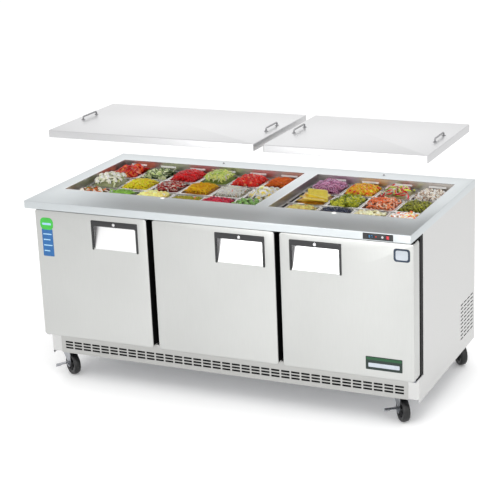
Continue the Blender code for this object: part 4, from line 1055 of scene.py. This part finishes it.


# What each pan holds: how high it is heaped, the colour beneath (darker than the items, painted shade in the
# gaps between them), and the kinds of item in it
FOODS = {
    ("left", "rear"): [
        (0.022, tone(170, 24, 18), [discs(34, TOMATO, 0.023, 0.006, pockets=True)]),
        (0.017, tone(70, 100, 50), [discs(52, CUCUMBER, 0.0165, 0.004)]),
        (0.031, tone(120, 10, 14), [blobs(150, tone(206, 20, 28), (0.0085, 0.0085, 0.0075))]),
        (0.036, tone(150, 180, 70), [
            strands(150, tone(206, 226, 120), 0.042, 0.011, 0.0012, bend=0.008, wave=0.004,
                    edge=tone(176, 208, 84)),
            strands(60, tone(232, 240, 190), 0.036, 0.008, 0.0015, bend=0.006, wave=0.004)]),
        (0.029, tone(160, 16, 12), [
            blobs(130, tone(222, 38, 22), (0.0085, 0.0075, 0.0065), square=0.5),
            blobs(26, tone(240, 130, 90), (0.007, 0.006, 0.005), square=0.5)]),
        (0.025, tone(200, 84, 20), [
            strands(300, tone(240, 112, 30), 0.032, 0.0032, 0.0028, bend=0.004, wave=0.002)]),
    ],
    ("left", "middle"): [
        (0.042, tone(200, 206, 150), [
            florets(26, tone(240, 240, 214), tone(206, 222, 150), 0.016),
            strands(60, tone(228, 236, 196), 0.034, 0.009, 0.0016, bend=0.008, wave=0.003)]),
        (0.026, tone(214, 160, 10), [
            blobs(360, tone(252, 208, 40), (0.0050, 0.0042, 0.0038), square=0.8, rows=3, sides=6)]),
        (0.022, tone(140, 40, 36), [
            strands(90, tone(176, 42, 40), 0.036, 0.011, 0.0020, bend=0.004, wave=0.003,
                    edge=tone(240, 196, 180)),
            strands(60, tone(244, 224, 210), 0.030, 0.007, 0.0020, bend=0.004, wave=0.003)]),
        (0.028, tone(214, 140, 10), [
            strands(330, tone(250, 176, 20), 0.028, 0.0034, 0.0030, bend=0.003, wave=0.0015)]),
        (0.022, tone(214, 208, 180), [
            strands(300, tone(248, 242, 220), 0.026, 0.0034, 0.0030, bend=0.003, wave=0.0015),
            strands(12, tone(226, 120, 60), 0.020, 0.0034, 0.003)]),
        (0.022, tone(210, 190, 130), [
            discs(26, EGG, 0.019, 0.006),
            discs(12, LEMON, 0.018, 0.004, pockets=True),
            strands(60, WHITE_FOOD, 0.024, 0.004, 0.003)]),
    ],
    ("left", "front"): [
        (0.014, tone(120, 80, 40), [
            strands(46, tone(226, 100, 30), 0.030, 0.006, 0.005),
            discs(24, MUSHROOM, 0.011, 0.004),
            strands(36, tone(96, 130, 50), 0.028, 0.006, 0.004, bend=0.003),
            blobs(26, tone(90, 50, 34), (0.007, 0.006, 0.005))]),
        (0.012, tone(80, 110, 40), [
            strands(80, tone(126, 172, 66), 0.052, 0.0070, 0.0065, bend=0.003, wave=0.001, taper=0.5)]),
        (0.020, tone(220, 190, 110), [
            blobs(80, tone(248, 222, 130), (0.0115, 0.0095, 0.0080), square=0.4),
            blobs(20, tone(250, 240, 200), (0.0085, 0.0085, 0.0070), square=0.4)]),
        (0.004, tone(120, 110, 30), [
            blobs(240, tone(150, 148, 40), (0.0052, 0.0045, 0.0036), square=0.5, rows=3, sides=6),
            blobs(50, tone(196, 100, 40), (0.0045, 0.0040, 0.0034), square=0.5, rows=3, sides=6)]),
        (0.018, tone(90, 10, 30), [
            blobs(150, tone(176, 18, 54), (0.0075, 0.0070, 0.0066)),
            blobs(24, tone(96, 14, 50), (0.0075, 0.0070, 0.0066))]),
        (0.020, tone(60, 90, 40), [
            florets(26, tone(112, 152, 82), tone(190, 214, 140), 0.013),
            strands(16, tone(196, 214, 140), 0.020, 0.009, 0.009)]),
    ],
    ("right", "rear"): [
        (0.031, tone(110, 24, 76), [
            arcs(70, tone(226, 176, 210), 0.017, 6.3, 0.0042, 0.0055, steps=16, sides=5,
                 edge=tone(140, 20, 92)),
            arcs(40, tone(222, 170, 204), 0.011, 6.3, 0.0036, 0.0050, steps=12, sides=5,
                 edge=tone(130, 18, 84))]),
        (0.026, tone(210, 110, 10), [
            blobs(120, tone(250, 164, 24), (0.0085, 0.0075, 0.0065), square=0.5),
            blobs(44, tone(232, 70, 26), (0.0080, 0.0070, 0.0060), square=0.5),
            blobs(30, tone(252, 206, 60), (0.0080, 0.0070, 0.0060), square=0.5)]),
        (0.029, tone(214, 200, 150), [
            arcs(44, tone(248, 240, 210), 0.020, 1.9, 0.012, 0.008, steps=8, sides=6, edge=tone(208, 40, 48)),
            arcs(34, tone(248, 242, 214), 0.020, 1.9, 0.012, 0.008, steps=8, sides=6,
                 edge=tone(190, 206, 70))]),
        (0.027, tone(190, 172, 156), [
            discs(70, MUSHROOM, 0.0100, 0.0030, sides=9),
            blobs(60, tone(238, 228, 216), (0.0080, 0.0060, 0.0045), square=0.6),
            blobs(30, tone(170, 140, 120), (0.0060, 0.0050, 0.0035), square=0.6)]),
    ],
    ("right", "middle"): [
        (0.020, tone(220, 150, 40), [
            blobs(9, tone(252, 190, 66), (0.043, 0.045, 0.0020), square=0.16, rows=4, sides=16)]),
        (0.024, tone(130, 130, 30), [discs(90, PICKLE, 0.0135, 0.0036, sides=12)]),
        (0.026, tone(210, 140, 110), [
            arcs(60, tone(250, 206, 184), 0.0125, 3.9, 0.0120, 0.0110, taper=0.35, steps=10, sides=7,
                 edge=tone(240, 116, 70), bands=True)]),
        (0.024, tone(90, 92, 24), [
            blobs(130, tone(140, 142, 48), (0.0100, 0.0056, 0.0052), tip=tone(110, 110, 40)),
            blobs(40, tone(58, 60, 24), (0.0070, 0.0036, 0.0036))]),
    ],
    ("right", "front"): [
        (0.010, tone(190, 180, 100), [
            strands(150, tone(226, 214, 130), 0.034, 0.0028, 0.0026, bend=0.004, wave=0.003),
            strands(60, tone(230, 130, 50), 0.028, 0.0032, 0.0028, bend=0.003),
            blobs(50, tone(236, 228, 150), (0.0035, 0.0035, 0.0030), rows=3, sides=6)]),
        (0.014, tone(20, 24, 36), [blobs(170, tone(40, 46, 66), (0.0080, 0.0062, 0.0056))]),
        (0.016, tone(214, 190, 140), [
            arcs(76, tone(246, 228, 178), 0.0110, 2.5, 0.0085, 0.0080, steps=7, sides=7),
            blobs(30, tone(250, 236, 196), (0.0085, 0.0070, 0.0060), square=0.7)]),
        (0.018, tone(230, 210, 180), [
            discs(26, EGG, 0.0165, 0.007),
            arcs(24, tone(250, 214, 190), 0.0115, 3.8, 0.0105, 0.0100, taper=0.35, steps=9, sides=7,
                 edge=tone(238, 106, 60), bands=True)]),
    ],
}
TUMBLE = {"disc": 0.85, "blob": 1.4, "strand": 0.55, "arc": 0.65, "floret": 0.5}
FLAT_SLICE = 0.16


def fill(heap, x, y, top, half_x, half_y, recipe):
    """Heaps the food of one pan: its bed, then items scattered evenly over it in two layers."""
    rise, under, items = recipe
    level = top - (0.006 if rise < 0.022 else 0.009)
    inside_x, inside_y = half_x - 0.0125, half_y - 0.0125
    # The bed takes half the colour beneath: painted shade in the gaps between the items.
    bed(heap, x, y, level - 0.0055, inside_x, inside_y, rise, tuple(value * 0.5 for value in under))
    for count, kind, settings in items:
        start = heap.random.random()
        for index in range(count):
            reach = max(settings.get("length", 0), settings.get("radius", 0), settings.get("size", (0,))[0]
                        if kind == "blob" else settings.get("size", 0) if kind == "floret" else 0)
            reach = reach * (0.5 if kind == "strand" else 0.62)
            u = 2 * ((index + 0.5) / count) - 1
            v = 2 * ((start + index * GOLDEN_RATIO) % 1.0) - 1
            span_x, span_y = inside_x - reach, inside_y - reach
            px, py = u * span_x, v * span_y
            z = level + rise * mound(px / inside_x, py / inside_y) + heap.random.uniform(-0.0035, 0.0045)
            slices = kind == "blob" and settings["size"][0] > 0.03
            tumble = FLAT_SLICE if slices else TUMBLE[kind]
            if slices:
                px, py = px * 0.6, py * 0.6
                z = level + 0.006 + 0.0027 * index
            tilt = Euler((-py / inside_y * rise * 14 + heap.random.gauss(0, tumble) * 0.6,
                          px / inside_x * rise * 14 + heap.random.gauss(0, tumble) * 0.6, 0.0))
            yaw = heap.random.gauss(0.1, 0.25) if slices else heap.random.uniform(0, 2 * pi)
            scale = heap.random.uniform(0.86, 1.14)
            matrix = Matrix.Translation((x + px, y + py, z)) @ tilt.to_matrix().to_4x4()
            matrix = matrix @ Matrix.Rotation(yaw, 4, "Z") @ Matrix.Scale(scale, 4)
            getattr(heap, kind)(matrix, **settings)


def pans():
    """Thirty separate pans, each with its food, in place of the six rows."""
    for side in SIDES:
        for row in ROWS:
            low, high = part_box(f"pan_row_{side}_{row}")
            count = COLUMNS[side]
            pitch = (high.x - low.x) / count
            half_x, half_y = pitch / 2 - 0.0004, (high.y - low.y) / 2
            y = (low.y + high.y) / 2
            for column in range(count):
                x = low.x + (column + 0.5) * pitch
                tag = f"{side}_{row}_{column + 1}"
                bm = pan(x, y, high.z, half_x, half_y)
                stands_for = [f"pan_row_{side}_{row}"] if column == 0 else ()
                piece(f"pan_{tag}", bm, PAN_STEEL, "cabinet", stands_for, sharp=50)
                heap = Heap(f"{tag} food")
                fill(heap, x, y, high.z, half_x, half_y, FOODS[side, row][column])
                dry = FOODS[side, row][column][2][0][1] == "strand"
                heap.finish(f"food_{tag}", DRY_FOOD if dry else FOOD)


# ---------------------------------------------------------------- carried-over nodes


def dress():
    """Gives every CAD node that still shows its finished material."""
    groups = {
        CASING_STEEL: ["outer_casing"],
        WELL_STEEL: ["pan_well_left", "pan_well_right"],
        HANDLE_STEEL: [f"lid_handle_{side}_{end}" for side in SIDES for end in "ab"],
        PAN_STEEL: ["pan_rack_left", "pan_rack_right"],
        ZINC: ["base_frame", *(f"hinge_bracket_{name}" for name in DOORS)],
        WHITE_PLASTIC: [f"door_liner_{name}" for name in DOORS],
        WIRE: [f"shelf_{name}" for name in DOORS],
        GASKET: [f"door_gasket_{name}" for name in DOORS],
        ALUMINIUM: ["cabinet_liner", "condenser_coil", "evaporator_coil"],
        FRAME_AND_SHADE_BLACK: ["face_frame"],
        DARK_METAL: ["compressor"],
        BLACK: ["control_panel", "condenser_fan", "evaporator_fan"],
        RED: ["power_switch"],
    }
    for material, names in groups.items():
        for name in names:
            shown = frame["nodes"][name]
            if not shown.material_slots:
                shown.data.materials.append(material)
            for slot in shown.material_slots:
                slot.material = material


# ---------------------------------------------------------------- studio


# Where each soft light stands, what it faces, its size in metres and its power in watts
LIGHTS = {
    "key": ((1.6, -2.6, 5.4), (0.3, 0, 0.6), (3.2, 2.6), 60),
    "fill": ((4.2, -2.0, 2.4), (0.2, 0, 0.6), (2.6, 2.2), 20),
    "under_lids": ((0.4, -2.6, 1.08), (0.0, 0.1, 0.93), (3.0, 0.3), 22),
    "rear": ((-1.9, 4.6, 2.7), (0.0, 0.0, 1.15), (4.0, 1.6), 15),
}


def area_light(name, at, aim, size, power):
    data = bpy.data.lights.new(name, "AREA")
    data.shape = "RECTANGLE"
    data.size, data.size_y = size
    data.energy = power
    made = bpy.data.objects.new(name, data)
    bpy.context.scene.collection.objects.link(made)
    made.location = at
    made.rotation_euler = (Vector(aim) - Vector(at)).to_track_quat("-Z", "Y").to_euler()


def studio():
    scene = bpy.context.scene
    scene.view_settings.view_transform = "Standard"
    world = bpy.data.worlds.new("studio")
    scene.world = world
    world.use_nodes = True
    background = world.node_tree.nodes["Background"]
    background.inputs["Color"].default_value = (1.0, 1.0, 1.0, 1.0)
    background.inputs["Strength"].default_value = 1.0
    for name, settings in LIGHTS.items():
        area_light(name, *settings)

    bm = bmesh.new()
    block(bm, (-30, -30, -0.05), (30, 30, 0.0))
    mesh = bpy.data.meshes.new("studio_floor")
    bm.to_mesh(mesh)
    bm.free()
    paint = look("floor_paint", tone(255, 255, 255), 0.7, 0.0, 0.01, 2.0, rough_vary=0.03,
                 Emission_Color=(1.0, 1.0, 1.0, 1.0), Emission_Strength=0.06)
    mesh.materials.append(paint)
    floor = bpy.data.objects.new("studio_floor", mesh)
    scene.collection.objects.link(floor)

    data = bpy.data.cameras.new("camera")
    camera = bpy.data.objects.new("camera", data)
    scene.collection.objects.link(camera)
    data.lens = CAMERA_LENS
    data.sensor_width = 36.0
    data.clip_end = 100.0
    camera.location = CAMERA_AT
    turn = Matrix.Rotation(CAMERA_AZIMUTH, 4, "Z") @ Matrix.Rotation(pi / 2 - CAMERA_ELEVATION, 4, "X")
    camera.rotation_euler = (turn @ Matrix.Rotation(CAMERA_ROLL, 4, "Z")).to_euler()
    scene.camera = camera


worktop()
ducts()
back_panel()
kick_panel()
lids()
for door_name in DOORS:
    door(door_name)
controls()
labels()
for caster_name in CASTERS:
    caster(caster_name)
pans()
dress()
studio()
